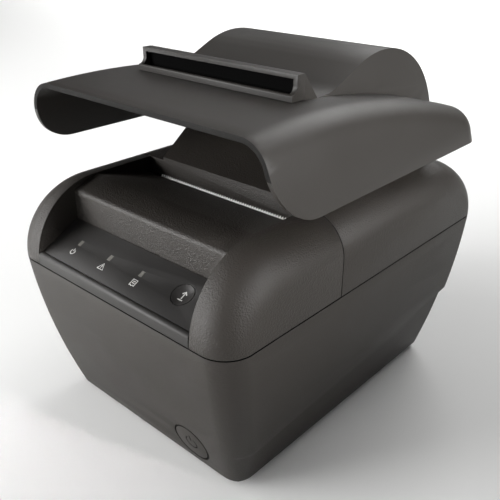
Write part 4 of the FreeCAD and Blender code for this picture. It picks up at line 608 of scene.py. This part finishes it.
def turn(radius, start, end, steps=24):
    """Points round an arc, angles in degrees from the sign's right."""
    angles = [math.radians(start + (end - start) * i / steps) for i in range(steps + 1)]
    return [(radius * math.cos(angle), radius * math.sin(angle)) for angle in angles]


def stroke_sides(points, width):
    """The left and right points of a ribbon that follows a stroke."""
    pairs = []
    for i, point in enumerate(points):
        before = Vector(points[max(i - 1, 0)])
        after = Vector(points[min(i + 1, len(points) - 1)])
        along = (after - before).normalized()
        aside = Vector((-along.y, along.x)) * width / 2
        pairs.append((Vector(point) + aside, Vector(point) - aside))
    return pairs


print("ribbon helpers ready")

# %% [markdown]
# A ribbon has to lie on its surface, which may be dished. Rays that start RUN_UP in front of the solid throw
# its points onto it, and a Solidify modifier gives the ink its thickness.

# %% Sign maker
sign_ink = finish("sign_ink", grain_group, (0.62, 0.62, 0.60), 0.25, 2400, (0.45, 0.6), 0.004)
INK_THICKNESS = 0.03e-3
RUN_UP = 0.03


def printed_sign(name, carrier, middle, into, strokes, width, material):
    """A sign of ribbons on a solid; strokes and width in millimetres round a middle, seen along into."""
    into = Vector(into).normalized()
    across = Vector((1, 0, 0))
    up = across.cross(into)
    skin = skin_of(carrier)
    shape = bmesh.new()
    for points in strokes:
        rows = []
        for pair in stroke_sides(points, width):
            row = []
            for spot in pair:
                start = middle + (across * spot.x + up * spot.y) / 1000 - into * RUN_UP
                place = skin.ray_cast(start, into)[0]
                row.append(shape.verts.new(place - into * INK_THICKNESS))
            rows.append(row)
        for first, second in zip(rows, rows[1:]):
            shape.faces.new((first[0], first[1], second[1], second[0]))
    mesh = bpy.data.meshes.new(name)
    shape.to_mesh(mesh)
    shape.free()
    piece = bpy.data.objects.new(name, mesh)
    bpy.context.collection.objects.link(piece)
    mesh.materials.append(material)
    body = piece.modifiers.new("ink_body", "SOLIDIFY")
    body.thickness = INK_THICKNESS
    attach(piece, body_of[carrier])
    return piece


print("sign maker ready")

# %% [markdown]
# The strokes are given in millimetres from the middle of each sign: round ones by turn, straight ones by
# their corners.

# %% Strokes of the signs
power_sign = [turn(1.3, 130, 410), [(0, 0.3), (0, 1.9)]]
warning_sign = [
    [(-1.9, -1.4), (1.9, -1.4), (0, 1.9), (-1.9, -1.4)],
    [(0, -0.2), (0, 0.9)],
    [(0, -0.9), (0, -0.55)],
]
sheet_sign = [
    [(-1.4, -1.5), (-1.4, 1.8), (1.4, 1.8), (1.4, -1.5), (0.7, -1), (0, -1.5), (-0.7, -1), (-1.4, -1.5)],
    [(-0.8, 0.9), (0.8, 0.9)],
    [(-0.8, 0), (0.8, 0)],
]
feed_sign = [[(0, -1.7), (0, 1.7)], [(-1.2, 0.6), (0, 1.9), (1.2, 0.6)], [(-1.4, -2.4), (1.4, -2.4)]]
# Painted shade: the power button's pressed sign and the gap round the button, drawn as dark strokes.
pressed_sign = [turn(3.4, 125, 415), [(0, 1.2), (0, 5)], turn(10.1, 0, 360, 72)]
print("strokes:", sum(map(len, (power_sign, warning_sign, sheet_sign, feed_sign, pressed_sign))))

# %% [markdown]
# A sign is laid on along the way in which its button presses, and the panel's signs follow the feed button.
# Each light's sign stands a little further down the slope, and each button's sign in the button's middle.

# %% Lay the signs on the panel and the buttons
BELOW_LIGHT = 5.5e-3
LIGHT_STROKE = 0.42
FEED_STROKE = 0.5
SHADE_SIGN_STROKE = 0.6


def axis_of(joint):
    """The way in which a joint moves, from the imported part."""
    return next(Vector(j["axis"]) for j in frame["record"]["behaviour"]["joints"] if j["name"] == joint)


def middle_of(name):
    """The middle of a solid's box."""
    low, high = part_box(name)
    return (low + high) / 2


panel_into = axis_of("feed_press")
wall_into = axis_of("power_press")
down_slope = panel_into.cross(Vector((1, 0, 0)))
signs_by_light = (
    ("power_light", power_sign),
    ("error_light", warning_sign),
    ("paper_light", sheet_sign),
)
signs = []
for light, strokes in signs_by_light:
    middle = middle_of(light) + down_slope * BELOW_LIGHT
    name = light.replace("light", "sign")
    signs.append(printed_sign(name, "control_panel", middle, panel_into, strokes, LIGHT_STROKE, sign_ink))
signs_by_button = (
    ("feed_sign", "feed_button", panel_into, feed_sign, FEED_STROKE, sign_ink),
    ("pressed_sign", "power_button", wall_into, pressed_sign, SHADE_SIGN_STROKE, painted_shade_black),
)
for name, button, into, *look in signs_by_button:
    signs.append(printed_sign(name, button, middle_of(button), into, *look))
print("signs:", [piece.name for piece in signs])
